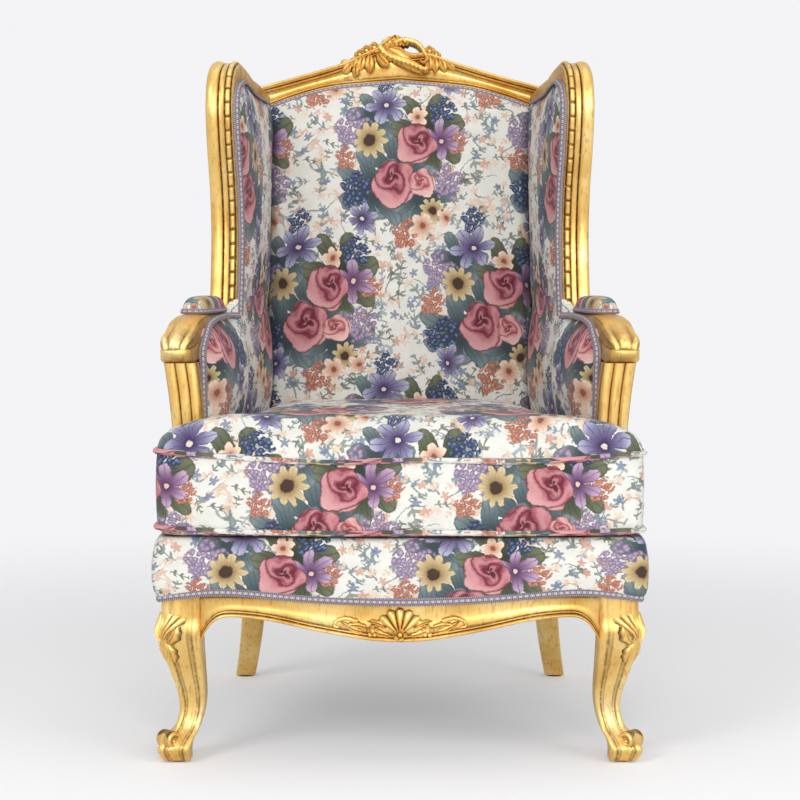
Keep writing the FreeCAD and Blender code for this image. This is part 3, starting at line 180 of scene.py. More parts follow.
def add_piece(name, points, faces, material, slot, nodes=(), dark=None, uv=None, mirror=False,
              body="chair", sharp=45, soft=None):
    """A mesh from points in millimetres, riding on a body and standing for nodes of the solid model."""
    sign = -1 if mirror else 1
    mesh = bpy.data.meshes.new(name)
    mesh.from_pydata([(p.x * MM * sign, p.y * MM, p.z * MM) for p in points], [],
                     [tuple(reversed(f)) for f in faces] if mirror else faces)
    # dark holds painted shade, with grime, for grooves and hollows; the gilt material browns by it
    if dark:
        mesh.attributes.new("dark", "FLOAT", "POINT").data.foreach_set("value", dark)
    if uv:
        layer = mesh.uv_layers.new(name="cloth")
        for loop in mesh.loops:
            layer.data[loop.index].uv = uv[loop.vertex_index]
    fixer = bmesh.new()
    fixer.from_mesh(mesh)
    bmesh.ops.recalc_face_normals(fixer, faces=fixer.faces)
    fixer.to_mesh(mesh)
    fixer.free()
    piece = bpy.data.objects.new(name, mesh)
    bpy.context.scene.collection.objects.link(piece)
    mesh.materials.append(material)
    mesh.shade_smooth()
    mesh.set_sharp_from_angle(angle=math.radians(sharp))
    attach(piece, body)
    if nodes:
        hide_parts(*nodes)
    return piece


def add_pair(name, points, faces, material, slot, nodes=(), **extra):
    """A left-hand piece and its right-hand mirror image."""
    for side, sign in SIDES.items():
        add_piece(f"{name}_{side}", points, faces, material, slot, [f"{node}_{side}" for node in nodes],
                  mirror=sign < 0, **extra)


# Materials

class Graph:
    """The nodes of a material or a world, written as sums and mixes."""

    def __init__(self, name, kind="materials", shader="Principled BSDF"):
        self.owner = getattr(bpy.data, kind).new(name)
        self.owner.use_nodes = True
        self.tree = self.owner.node_tree
        self.shader = self.tree.nodes[shader]

    def put(self, value, socket):
        """Links an output to a socket, or sets the socket's value."""
        if isinstance(value, bpy.types.NodeSocket):
            self.tree.links.new(value, socket)
        elif isinstance(value, tuple) and len(value) == 3 and socket.type == "RGBA":
            socket.default_value = (*value, 1)
        else:
            socket.default_value = value

    def node(self, kind, inputs=(), **settings):
        """A new node with its settings, and its inputs by number or name."""
        made = self.tree.nodes.new("ShaderNode" + kind)
        for key, value in settings.items():
            setattr(made, key, value)
        for key, value in dict(inputs).items():
            self.put(value, made.inputs[key])
        return made

    def look(self, **inputs):
        """Inputs of the shader, with low lines for the spaces in their names."""
        for key, value in inputs.items():
            self.put(value, self.shader.inputs[key.replace("_", " ")])

    def math(self, operation, *values):
        return self.node("Math", enumerate(values), operation=operation).outputs[0]

    def vector(self, operation, *values):
        made = self.node("VectorMath", enumerate(values), operation=operation)
        return made.outputs["Value" if operation == "LENGTH" else "Vector"]

    def mix(self, share, first, second, blend="MIX"):
        inputs = {0: share, 6: first, 7: second}
        return self.node("Mix", inputs, data_type="RGBA", blend_type=blend).outputs[2]

    def over(self, colour, tone, where, strength):
        """A tone laid over a colour, at a strength."""
        return self.mix(self.math("MULTIPLY", where, strength), colour, tone)

    def either(self, choice, first, second):
        """The first place, or the second where the choice is 1."""
        return self.node("Mix", {0: choice, 4: first, 5: second}, data_type="VECTOR").outputs[1]

    def step(self, value, low, high):
        inputs = {0: value, 1: low, 2: high}
        return self.node("MapRange", inputs, interpolation_type="SMOOTHSTEP").outputs[0]

    def ramp(self, value, *stops):
        made = self.node("ValToRGB", {0: value})
        elements = made.color_ramp.elements
        while len(elements) < len(stops):
            elements.new(0.5)
        for element, (place, colour) in zip(elements, stops):
            element.position = place
            element.color = (*colour, 1)
        return made.outputs[0]

    def noise(self, place, scale, detail=2.0, rough=0.5, output="Fac"):
        inputs = {"Vector": place, "Scale": scale, "Detail": detail, "Roughness": rough}
        return self.node("TexNoise", inputs).outputs[output]

    def cells(self, place, scale, feature="F1", dimensions="2D"):
        inputs = {"Vector": place, "Scale": scale}
        return self.node("TexVoronoi", inputs, feature=feature, voronoi_dimensions=dimensions).outputs

    def pick(self, cell):
        """A value that differs from cell to cell."""
        return self.node("SeparateColor", {0: cell["Color"]}).outputs[0]

    def bump(self, height, strength, distance):
        inputs = {"Height": height, "Strength": strength, "Distance": distance}
        self.look(Normal=self.node("Bump", inputs).outputs[0])

    def place(self):
        """A point's place in its object, in metres."""
        return self.node("TexCoord").outputs["Object"]

    def cloth(self):
        """A point's place on the cloth map."""
        return self.node("UVMap", uv_map="cloth").outputs[0]

    def split(self, place):
        """The first two coordinates of a place."""
        return self.node("SeparateXYZ", {0: place}).outputs[:2]

    def polar(self, place):
        """Distance from the middle, and angle round it."""
        x, y = self.split(place)
        return self.vector("LENGTH", place), self.math("ARCTAN2", y, x)

    def local(self, place, x, y, turn, width, height):
        """Coordinates of a motif: its middle at 0 and its edge at 1."""
        inputs = {"Vector": place, "Location": (x, y, 0), "Rotation": (0, 0, math.radians(turn)),
                  "Scale": (width, height, 1)}
        return self.node("Mapping", inputs, vector_type="TEXTURE").outputs[0]

    def seen(self):
        """1 for a ray from the camera, straight or by way of gloss or glass, and otherwise 0."""
        rays = self.node("LightPath").outputs
        mirrored = self.math("MAXIMUM", rays["Is Glossy Ray"], rays["Is Transmission Ray"])
        return self.math("MAXIMUM", rays["Is Camera Ray"], mirrored)


def srgb(*values):
    """A linear colour from the values that a picture shows."""
    shares = [value / 255 for value in values]
    return tuple(share / 12.92 if share <= 0.04045 else ((share + 0.055) / 1.055) ** 2.4 for share in shares)


def palette(*colours):
    """Linear colours from several pictured ones."""
    return tuple(srgb(*colour) for colour in colours)


def gilt_material():
    """Burnished gold over wood, browned by painted shade and grime in its grooves, and worn in fine cracks.
    """
    g = Graph("gilt_wood")
    place = g.place()
    dark = g.node("Attribute", attribute_name="dark").outputs["Fac"]
    broad = g.noise(place, 14, 3)
    fine = g.noise(place, 140, 4, 0.65)
    gold = g.ramp(broad, (0.3, srgb(212, 164, 84)), (0.55, srgb(238, 199, 120)), (0.75, srgb(249, 223, 162)))
    streak = g.noise(g.vector("MULTIPLY", place, (1, 1, 0.18)), 260)
    gold = g.over(gold, srgb(150, 98, 30), g.step(streak, 0.54, 0.72), 0.4)
    # Painted shade with grime: the dark attribute, mottled by fine noise, browns grooves, hollows and the
    # backs of mouldings
    hollow_shade_and_grime = g.math("MULTIPLY", dark, g.step(fine, 0.15, 0.55))
    colour = g.over(gold, srgb(66, 38, 12), hollow_shade_and_grime, 0.93)
    cracks = g.cells(place, 42, "DISTANCE_TO_EDGE", "3D")["Distance"]
    line = g.math("MULTIPLY", g.step(cracks, 0.009, 0.002), g.step(broad, 0.58, 0.66))
    rough = g.math("MULTIPLY_ADD", fine, 0.22, 0.24)
    g.look(Base_Color=g.over(colour, srgb(84, 48, 16), line, 0.7), Metallic=0.8,
           Roughness=g.math("MULTIPLY_ADD", hollow_shade_and_grime, 0.3, rough))
    g.bump(g.math("MULTIPLY_ADD", streak, 0.5, fine), 0.25, 0.0006)
    return g.owner


def wood_material(name, light, deep):
    """Plain wood with grain along its length."""
    g = Graph(name)
    grain = g.noise(g.vector("MULTIPLY", g.place(), (4, 60, 60)), 3, 4, 0.6)
    g.look(Base_Color=g.ramp(grain, (0.35, deep), (0.65, light)), Roughness=0.6)
    g.bump(grain, 0.2, 0.0005)
    return g.owner


def cloth_material(name, light, deep, pitch):
    """Plain woven cloth."""
    g = Graph(name)
    inputs = {"Vector": g.place(), "Scale": 0.31 / pitch}
    waves = [g.node("TexWave", inputs, bands_direction=way).outputs["Fac"] for way in ("X", "Y")]
    weave = g.math("MAXIMUM", *waves)
    g.look(Base_Color=g.ramp(weave, (0.2, deep), (0.9, light)), Roughness=0.95)
    g.bump(weave, 0.5, 0.0006)
    return g.owner


# Floral pattern: its repeat in metres, how large its bouquets are drawn, and the tones of its motifs

REPEAT_WIDTH = 0.3
REPEAT_HEIGHT = 0.5
BOUQUET = (0.8, 0.87)

MOSS = palette((52, 60, 46), (80, 88, 66), (114, 118, 90), (36, 42, 32))
SEA = palette((58, 72, 78), (90, 108, 112), (126, 142, 144), (40, 52, 58))
PINK = palette((92, 26, 44), (150, 66, 84), (196, 120, 128), (216, 160, 160))
BLUSH = palette((140, 52, 66), (188, 104, 112), (216, 154, 150), (232, 194, 184))
BUTTER = palette((120, 88, 52), (190, 164, 112), (214, 198, 152), (70, 52, 40))
VIOLET = palette((70, 50, 96), (126, 122, 158), (180, 182, 206), (214, 204, 180))
PLUM = palette((90, 54, 94), (146, 112, 148), (194, 168, 194), (216, 190, 160))
NAVY = palette((30, 40, 62), (56, 72, 108), (126, 144, 178), (48, 54, 86))
LILAC = palette((104, 84, 116), (152, 130, 160), (194, 180, 202), (126, 104, 138))
CORAL = palette((132, 64, 48), (184, 112, 88), (216, 160, 132), (158, 90, 72))
PEACH = palette((184, 124, 96), (222, 186, 158), (238, 220, 200), (146, 82, 60))
LONG_TWIGS = palette((126, 134, 122), (146, 158, 168), (218, 186, 164), (112, 130, 130), (98, 106, 92))
SHORT_TWIGS = palette((92, 100, 84), (222, 180, 154), (120, 138, 154), (104, 120, 112))
SPRIGS = palette((214, 176, 146), (226, 198, 172), (110, 124, 154), (206, 152, 126))

# Motifs of a bouquet: place, turn, size and tones
LEAVES = ((-0.004, -0.03, 12, 0.1, 0.112, 8, 0.34, SEA), (-0.06, -0.06, 50, 0.082, 0.092, 7, 0.3, SEA),
          (0.06, 0.05, 20, 0.085, 0.1, 7, 0.3, MOSS), (0.05, -0.08, 75, 0.07, 0.08, 6, 0.3, SEA),
          (-0.055, 0.09, 0, 0.065, 0.06, 6, 0.3, SEA))
BERRIES = ((-0.1, 0.06, 0.046, 4.8, LILAC), (0.104, -0.045, 0.042, 4.8, LILAC),
           (0.092, 0.1, 0.036, 3.6, NAVY), (-0.096, -0.06, 0.042, 3.6, NAVY),
           (0.012, -0.15, 0.036, 3.8, CORAL), (-0.118, 0.004, 0.028, 3.8, CORAL),
           (-0.03, 0.165, 0.03, 3.8, NAVY), (0.125, 0.03, 0.026, 3.8, CORAL))
LILIES = ((-0.03, 0.112, 10, 0.05, VIOLET), (0.088, 0.04, 34, 0.046, PLUM),
          (-0.082, -0.118, 75, 0.038, VIOLET))
DAISIES = ((-0.062, 0.038, 0, 0.037), (0.07, -0.105, 20, 0.029))
BLOSSOMS = ((0.045, -0.135, 60, 0.028), (0.1, -0.12, 5, 0.025), (0.04, 0.085, 33, 0.024))
ROSES = ((0.032, 0.03, 0, 0.047, 0.045, PINK), (-0.012, -0.048, 40, 0.053, 0.051, PINK),
         (0.05, -0.05, 80, 0.031, 0.029, BLUSH))


def petals(g, angle, radius, count, low, power=1.0):
    """How far inside a flower's outline a point is. The outline is low between petals and 1 at their tips."""
    wave = g.math("ABSOLUTE", g.math("COSINE", g.math("MULTIPLY", angle, count / 2)))
    edge = g.math("MULTIPLY_ADD", g.math("POWER", wave, power), 1 - low, low)
    return g.math("SUBTRACT", edge, radius)


def lines(g, angle, often):
    """Fine lines that run out from a motif's middle: 0 on a line."""
    return g.math("ABSOLUTE", g.math("SINE", g.math("MULTIPLY", angle, often)))


def paint(g, colour, inside, drawn):
    """A motif over what lies below it."""
    return g.mix(g.step(inside, 0.0, 0.04), colour, drawn)


def leaf_spray(g, colour, place, count, low, tones):
    """A ring of pointed leaves with veins."""
    radius, angle = g.polar(place)
    inside = petals(g, angle, radius, count, low, 0.8)
    tone = g.ramp(radius, (0.25, tones[0]), (0.6, tones[1]), (0.95, tones[2]))
    tone = g.over(tone, tones[3], g.step(lines(g, angle, count * 2.5), 0.55, 0.0), 0.4)
    tone = g.over(tone, tones[0], g.step(inside, 0.1, 0.02), 0.55)
    return paint(g, colour, inside, tone)


def rose(g, colour, place, tones):
    """A cabbage rose: petals wound round a dark heart that lies off its middle."""
    radius, angle = g.polar(place)
    inside = petals(g, angle, radius, 5, 0.86)
    radius, angle = g.polar(g.vector("SUBTRACT", place, (0.16, 0.2, 0)))
    radius = g.math("MULTIPLY", radius, 0.86)
    sway = g.math("SINE", g.math("MULTIPLY_ADD", angle, 3.0, g.math("MULTIPLY", radius, 6.0)))
    turn = g.math("MULTIPLY_ADD", sway, 1.7, g.math("MULTIPLY", g.math("POWER", radius, 0.75), 17.0))
    fold = g.math("SINE", g.math("ADD", turn, angle))
    tone = g.ramp(radius, (0.08, tones[0]), (0.34, tones[1]), (0.66, tones[2]), (0.98, tones[3]))
    tone = g.over(tone, tones[0], g.step(fold, 0.45, 1.0), 0.75)
    tone = g.over(tone, tones[3], g.step(fold, -0.1, -1.0), 0.45)
    tone = g.over(tone, tones[0], g.step(inside, 0.09, 0.02), 0.8)
    return paint(g, colour, inside, tone)


def open_flower(g, colour, place, count, low, tones, heart, lined=0.5, power=1.0):
    """An open flower with lined petals round a heart."""
    radius, angle = g.polar(place)
    inside = petals(g, angle, radius, count, low, power)
    tone = g.ramp(radius, (0.15, tones[0]), (0.55, tones[1]), (0.95, tones[2]))
    tone = g.over(tone, tones[0], g.step(lines(g, angle, count * 1.5), 0.4, 0.0), lined)
    tone = g.over(tone, tones[0], g.step(inside, 0.08, 0.01), 0.8)
    tone = g.mix(g.step(radius, heart, heart * 0.75), tone, tones[3])
    return paint(g, colour, inside, tone)


def cluster(g, colour, place, scale, tones):
    """Many small bells, berries or florets in one spray."""
    radius, angle = g.polar(place)
    cell = g.cells(place, scale)
    inside = petals(g, angle, radius, 5, 0.7)
    tone = g.ramp(cell["Distance"], (0.05, tones[2]), (0.35, tones[1]), (0.6, tones[0]))
    tone = g.over(tone, tones[3], g.pick(cell), 0.6)
    return g.over(colour, tone, g.step(inside, 0.0, 0.15), g.step(cell["Distance"], 0.62, 0.5))


def strewn(g, place, scale, reach):
    """Spots strewn over the ground: a value for each, and distance and turned angle from its middle."""
    cell = g.cells(place, scale)
    pick = g.pick(cell)
    away = g.vector("SUBTRACT", place, cell["Position"])
    radius, angle = g.polar(g.vector("MULTIPLY", away, (scale / reach, scale / reach, 0)))
    return pick, radius, g.math("MULTIPLY_ADD", pick, 6.0, angle)


def tinted(g, colour, shown, pick, tones):
    """A strewn motif over what lies below it, in one of several tones."""
    tint = g.ramp(pick, *[(number / len(tones), tone) for number, tone in enumerate(tones)])
    tint.node.color_ramp.interpolation = "CONSTANT"
    return g.over(colour, tint, shown, 0.85)


def sprigs(g, colour, place, scale, count, low, reach, tones):
    """Small flowers strewn over the ground."""
    pick, radius, angle = strewn(g, place, scale, reach)
    inside = petals(g, angle, radius, count, low, 1.6)
    shown = g.math("MULTIPLY", g.step(inside, 0.0, 0.12), g.step(pick, 0.1, 0.12))
    return tinted(g, colour, shown, pick, tones)


def twigs(g, colour, place, scale, reach, tones):
    """Twigs with paired leaves strewn over the ground."""
    pick, radius, angle = strewn(g, place, scale, reach)
    along = g.math("MULTIPLY", radius, g.math("COSINE", angle))
    bend = g.math("MULTIPLY", g.math("SINE", g.math("MULTIPLY", along, 2.4)), 0.14)
    aside = g.math("ABSOLUTE", g.math("MULTIPLY_ADD", radius, g.math("SINE", angle), bend))
    stem = g.step(aside, 0.075, 0.045)
    slant = g.math("SUBTRACT", g.math("MULTIPLY", along, 9.0), g.math("MULTIPLY", aside, 5.0))
    leaf = g.math("MULTIPLY", g.step(g.math("SINE", slant), 0.2, 0.5), g.step(aside, 0.46, 0.34))
    shown = g.math("MULTIPLY", g.math("MAXIMUM", stem, leaf), g.step(radius, 1.0, 0.9))
    return tinted(g, colour, shown, pick, tones)


def shaken(g, place, cloth, reach, *grain):
    """A place moved to and fro by noise."""
    shift = g.vector("SUBTRACT", g.noise(cloth, *grain, output="Color"), (0.5, 0.5, 0.5))
    return g.vector("MULTIPLY_ADD", shift, (reach, reach, 0), place)


def half_drop(g, place):
    """A point's place from the middle of the nearest bouquet."""
    half = Vector((REPEAT_WIDTH / 2, REPEAT_HEIGHT / 2, 1))
    first = g.vector("WRAP", place, half, -half)
    second = g.vector("WRAP", g.vector("ADD", place, half), half, -half)
    second = g.vector("MULTIPLY", second, (1, 1, 0))
    shrink = (1 / REPEAT_WIDTH, 1 / REPEAT_HEIGHT, 0)
    far = [g.vector("LENGTH", g.vector("MULTIPLY", spot, shrink)) for spot in (first, second)]
    nearest = g.either(g.math("LESS_THAN", far[1], far[0]), first, second)
    return g.vector("MULTIPLY", nearest, (1 / BOUQUET[0], 1 / BOUQUET[1], 0))


def pale_ground(g, place, cloth):
    """The pattern's ground, with a meandering thread, twigs and small flowers on it."""
    colour = g.ramp(g.noise(cloth, 30, 3), (0.3, srgb(214, 213, 204)), (0.7, srgb(227, 226, 218)))
    winding = g.math("ABSOLUTE", g.math("SUBTRACT", g.noise(place, 22, 0), 0.5))
    thread = g.math("MULTIPLY", g.step(winding, 0.02, 0.008), g.step(g.noise(place, 27, 0), 0.46, 0.52))
    colour = g.over(colour, srgb(104, 122, 116), thread, 0.8)
    colour = twigs(g, colour, place, 24, 0.52, LONG_TWIGS)
    colour = twigs(g, colour, g.vector("ADD", place, (0.41, 0.23, 0)), 31, 0.44, SHORT_TWIGS)
    return sprigs(g, colour, place, 34, 5, 0.46, 0.3, SPRIGS)


def bouquet(g, colour, spot):
    """The leaves, berries and flowers of a bouquet, its roses on top."""
    for x, y, turn, width, height, count, low, tones in LEAVES:
        colour = leaf_spray(g, colour, g.local(spot, x, y, turn, width, height), count, low, tones)
    for x, y, size, scale, tones in BERRIES:
        colour = cluster(g, colour, g.local(spot, x, y, 15, size, size), scale, tones)
    for x, y, turn, size, tones in LILIES:
        place = g.local(spot, x, y, turn, size, size * 0.92)
        colour = open_flower(g, colour, place, 6, 0.3, tones, 0.12, 0.75, 0.7)
    for motifs, count, low, tones, heart in ((DAISIES, 10, 0.62, BUTTER, 0.34),
                                             (BLOSSOMS, 5, 0.6, PEACH, 0.24)):
        for x, y, turn, size in motifs:
            colour = open_flower(g, colour, g.local(spot, x, y, turn, size, size), count, low, tones, heart)
    for x, y, turn, width, height, tones in ROSES:
        colour = rose(g, colour, g.local(spot, x, y, turn, width, height), tones)
    return colour


def floral_material():
    """Tapestry with half-drop bouquets on a pale ground, from a cloth map in metres."""
    g = Graph("floral_fabric")
    cloth = g.cloth()
    place = shaken(g, cloth, cloth, 0.0055, 170, 2, 0.6)
    place = shaken(g, place, cloth, 0.024, 14, 1)
    spot = half_drop(g, place)
    colour = bouquet(g, pale_ground(g, place, cloth), spot)
    threads = 900 * 2 * math.pi
    warp, weft = [g.math("SINE", run) for run in g.split(g.vector("MULTIPLY", cloth, (threads, threads, 0)))]
    slub = g.noise(g.vector("MULTIPLY", cloth, (120, 900, 1)), 1)
    streaks = g.ramp(slub, (0.3, (0.35, 0.33, 0.3)), (0.7, (0.75, 0.73, 0.7)))
    colour = g.mix(0.22, colour, streaks, "OVERLAY")
    faded = g.mix(0.12, colour, g.node("RGBToBW", {0: colour}).outputs[0])
    g.look(Base_Color=faded, Roughness=0.88, Sheen_Weight=0.12, Sheen_Roughness=0.5, Specular_IOR_Level=0.25)
    g.bump(g.math("MULTIPLY_ADD", slub, 1.5, g.math("MULTIPLY", warp, weft)), 0.35, 0.0004)
    return g.owner


def gimp_material():
    """Grey-mauve braid with pale dashes along its middle, from a map along and across it."""
    g = Graph("gimp_braid")
    along, across = g.split(g.cloth())
    across = g.math("ABSOLUTE", across)
    dash = g.math("SINE", g.math("MULTIPLY", along, 2 * math.pi / 0.0085))
    middle = g.math("MULTIPLY", g.step(across, 0.3, 0.2), g.step(dash, -0.3, 0.1))
    twist = g.math("SINE", g.math("MULTIPLY_ADD", along, 2 * math.pi / 0.003, g.math("MULTIPLY", across, 5)))
    strand = g.math("MULTIPLY_ADD", twist, 0.5, 0.5)
    tone = g.ramp(strand, (0.2, srgb(108, 98, 108)), (0.8, srgb(166, 156, 164)))
    tone = g.over(tone, srgb(208, 202, 202), middle, 0.65)
    edge = g.math("MULTIPLY", g.step(across, 0.34, 0.42), g.step(across, 0.56, 0.48))
    g.look(Base_Color=g.over(tone, srgb(70, 62, 72), edge, 0.7), Roughness=0.85)
    g.bump(twist, 0.5, 0.0006)
    return g.owner


gilt = gilt_material()
floral = floral_material()
gimp_cloth = gimp_material()
beech = wood_material("frame_wood", srgb(196, 156, 108), srgb(160, 118, 74))
jute = cloth_material("jute", srgb(176, 148, 108), srgb(110, 86, 56), 0.003)
cambric = cloth_material("cambric", srgb(44, 42, 44), srgb(20, 19, 20), 0.001)
felt = cloth_material("felt", srgb(60, 50, 42), srgb(34, 28, 24), 0.0016)

# Each material beside a slot name, which add_piece takes but does not use
GILT = (gilt, "gilt_wood")
FLORAL = (floral, "floral_fabric")

# Gilt mouldings


def bead(start, end, base, height, steps=6):
    """A half-round moulding across a band: offset, height and darkness of its points."""
    # Darkness is painted shade and grime, deepest in the creases where the bead meets its ground
    points = []
    for step in range(steps + 1):
        turn = math.pi * step / steps
        points.append((start + (end - start) * (1 - math.cos(turn)) / 2, base + height * math.sin(turn),
                       max(0.0, 1 - 3 * math.sin(turn))))
    return points


def band_rings(stations, low_profile, field, high_profile, place, rear):
    """Rings of a moulded band. A station has its two edges, and place puts a point and height in space."""
    rings = []
    for low, high in stations:
        width = (high - low).length
        across = (high - low) / width
        start, stop = low_profile[-1][0], width - high_profile[-1][0]
        ring = list(low_profile)
        ring += [(start + (stop - start) * share, height, shade) for share, height, shade in field]
        ring += [(width - offset, height, shade) for offset, height, shade in reversed(high_profile)]
        ring += [(width, rear, 0.3), (0, rear, 0.3)]
        rings.append([(place(low + across * offset, height), shade) for offset, height, shade in ring])
    return rings


def loft(name, rings, nodes, pair=True):
    """A gilt piece, or a left and a right one, through rings of points and their darkness."""
    points = [point for ring in rings for point, _ in ring]
    dark = [shade for ring in rings for _, shade in ring]
    add = add_pair if pair else add_piece
    add(name, points, ring_faces(len(rings), len(rings[0])), *GILT, nodes, dark=dark)


COVE = [(0.12, 10.5, 0.25), (0.3, 8, 0.05), (0.5, 7, 0.0), (0.7, 8, 0.05), (0.88, 10.5, 0.25)]


CREST_SIDE = [(98, 79), (187, 52), (245, 36), (270, 28), (284, 18), (292, 4)]
CREST_MIDDLE = [(-60, 97), (-30, 109), (0, 107), (12, 98), (26, 95), (40, 97), (60, 93)]


def crest_low(x):
    """The crest's lower edge up the back."""
    return BACK_SEAT + at([(0, 40), (120, 28.5), (180, 13), (240, -8), (300, -22)], abs(x))


def crest_high(x):
    """The crest's upper edge up the back."""
    left = [(-across, up) for across, up in reversed(CREST_SIDE)]
    return BACK_SEAT + at(left + CREST_MIDDLE + CREST_SIDE, x)


def make_crest():
    """Crest rail: a moulded serpentine band."""
    xs = spread(-292, 292, 146)
    stations = [(Vector((x, crest_low(x), 0)), Vector((x, crest_high(x), 0))) for x in xs]
    low = [(0, 8, 0.8), *bead(0.5, 8, 13, 6), *bead(9, 13, 12, 4)]
    high = [(0, 8, 0.6), *bead(0.5, 9, 13, 7), *bead(10, 14, 12, 4)]
    rings = band_rings(stations, low, COVE, high, lambda p, h: back_point(p.x, p.y, h), -20)
    loft("crest_moulding", rings, ["crest_rail"], pair=False)


def wing_keys():
    """The left wing's outer edge in its own frame."""
    return [Vector((forward, height, 0)) for forward, height in
            ((300, 650), (288, 716), (282, 785), (291, 850), (308, 905), (320, 955), (322, 985), (316, 1015),
             (301, 1039), (276, 1054), (246, 1060), (190, 1055), (128, 1044), (40, 1038), (-24, 1031))]


def wing_inset(height, front, top):
    """How far inside the wing's outer edge its cloth starts: less along the front than over the ear."""
    return at([(985, front), (1005, front + (top - front) * 0.15), (1050, top)], height)


def edge_normals(path):
    """Directions square to a flat path, to its left."""
    normals = []
    for i in range(len(path)):
        run = path[min(i + 1, len(path) - 1)] - path[max(i - 1, 0)]
        normals.append(Vector((-run.y, run.x, 0)).normalized())
    return normals


NOTCH_STEP = 23
NOTCH_DEPTH = 3.2


def make_wing_rails():
    """Show wood round a wing: an outer torus, a cove and a notched ridge, run along its edge."""
    path = smooth_path(wing_keys(), 520)
    normals = edge_normals(path)
    face = [(-offset, height, shade, 0) for offset, height, shade in bead(-26, -6, -6, 6)]
    cove = [(5, -4.5, 1.0, 0), (3.5, -3.0, 0.3, 0), (0, -4.2, 0.1, 0), (-3.5, -3.0, 0.3, 0),
            (-5, -4.5, 1.0, 0)]
    ridge = [(-offset, height, shade, 1) for offset, height, shade in bead(6, 14, -4, 4.5)]
    inner = [(-15, -6, 1.0, 0), (-16.5, -5.5, 0.2, 0), (-19, -8, 0.4, 0), (-19, -34, 0.5, 0),
             (19, -34, 0.5, 0), (21, -20, 0.2, 0), (20, -18, 1.0, 0), (24, -14, 0.2, 0)]
    section = [*face, *cove, *ridge, *inner]
    rings = []
    length = sum((b - a).length for a, b in zip(path, path[1:]))
    for number, (point, normal) in enumerate(zip(path, normals)):
        along = length * number / (len(path) - 1)
        notch = max(0.0, math.cos(along * 2 * math.pi / NOTCH_STEP)) ** 9
        ring = []
        for across, rise, shade, carved in section:
            spot = point - normal * (rise - NOTCH_DEPTH * notch * carved)
            ring.append((wing_point(spot.x, spot.y, across), max(shade, notch * 0.9 * carved)))
        rings.append(ring)
    loft("wing_moulding", rings, ["wing_rail"])


def mirrored(side):
    """Points of a ring's other side: offset, height or depth, and darkness."""
    return [(-offset, height, shade) for offset, height, shade in reversed(side)]


def make_arms():
    """Arms: a grooved top that dips to a lobed knuckle."""
    run = post_front(ARM_TOP) - ARM_FRONT
    rise = ARM_TOP - 30 - KNUCKLE_BASE
    top = [(0, -44), (0.006, -35), (0.02, -28.5), (0.06, -21.5), (0.1, -12.5), (0.14, -5.5), (0.2, -0.5),
           (0.3, 0), (1, 0)]
    low = [(0, 9), (0.01, 3), (0.02, 0), (0.1, 0), (0.14, 20), (0.2, rise), (1, rise)]
    wide = [(0, 32), (0.01, 41), (0.02, 46), (0.08, 47), (0.14, 48), (0.2, 48), (0.5, 47), (1, 40)]
    shares = [0, 0.003, 0.006, 0.01, 0.015, *spread(0.02, 0.2, 24), *spread(0.2, 1, 16)[1:]]
    lobed, across_steps, grooves = 0.11, 24, (3, 21)
    rings = []
    for share in shares:
        y, half = ARM_FRONT + run * share, at(wide, share) / 2
        z, base = ARM_TOP + at(top, share), KNUCKLE_BASE + at(low, share)
        lobes = max(0.0, 1 - share / lobed) ** 0.5
        middle = base + (z - base) * 0.5
        line = 2 if z - base > 34 else 0.3
        side = [(half - 5, base, 0.4), (half, base + 5, 0.2), (half, middle - line, 0.2),
                (half - line * 0.75, middle, line / 2), (half, middle + line, 0.2)]
        round_top = min(10, (z - base) * 0.4)
        ring = [*side, (half, z - round_top, 0.9 * lobes)]
        for step in range(1, across_steps):
            turn = math.pi * step / across_steps
            valley = 1 - abs(math.sin(3 * turn))
            groove = (1 - lobes) if step in grooves else 0
            drop = round_top * (1 - math.sin(turn) ** 0.6) + 6.5 * lobes * valley + 1.5 * groove
            ring.append((half * math.cos(turn), z - drop, max(0.9 * lobes * valley ** 2, 0.9 * groove)))
        ring += [(-half, z - round_top, 0.9 * lobes), *mirrored(side)]
        rings.append([(Vector((arm_line(y) + x, y, height)), shade) for x, height, shade in ring])
    loft("arm_wood", rings, ["arm"])


def make_supports():
    """Arm supports: reeded fronts that taper to the seat rail."""
    rings = []
    for up in spread(0, 1, 39):
        z = RAIL_TOP + (KNUCKLE_BASE - RAIL_TOP) * up
        x = at([(0, -319), (0.3, -318), (0.6, -319), (0.85, -324), (1, -330)], up)
        y = SUPPORT_Y + at([(0, 10), (0.3, 11), (0.65, 6), (1, 0)], up)
        half = at([(0, 20), (0.3, 21.5), (0.65, 23), (0.9, 24.5), (1, 24.5)], up)
        ring = []
        for share in spread(0, 1, 30):
            reed = abs(math.sin(3 * math.pi * share))
            ring.append((-half + 2 * half * share, -22 + 4 * (1 - reed) ** 2 + 3 * abs(2 * share - 1) ** 6,
                         max(0.0, 1 - 3.2 * reed)))
        side = [(half - inset, depth, shade) for inset, depth, shade in
                ((0, -12, 0.2), (0, -8, 0.2), (1.5, -6.5, 1.0), (0, -5, 0.2), (0, 20, 0.2), (5, 22, 0.2))]
        ring += [*side, *mirrored(side)]
        rings.append([(Vector((x + across, y + depth, z)), shade) for across, depth, shade in ring])
    loft("arm_support", rings, ["arm_post"])


def apron_low(x):
    """Height of the front rail's lower edge."""
    return at([(0, 182), (45, 185), (122, 198), (190, 212), (240, 217), (262, 215), (276, 206), (286, 192),
               (294, 176)], abs(x))


def rail_face(x):
    """Y of the bowed front rail's face."""
    sunk = max(0.0, (abs(x) - 278) / 28)
    return FACE_Y - 16 * (1 - (x / 290) ** 2) + 10 * sunk ** 2


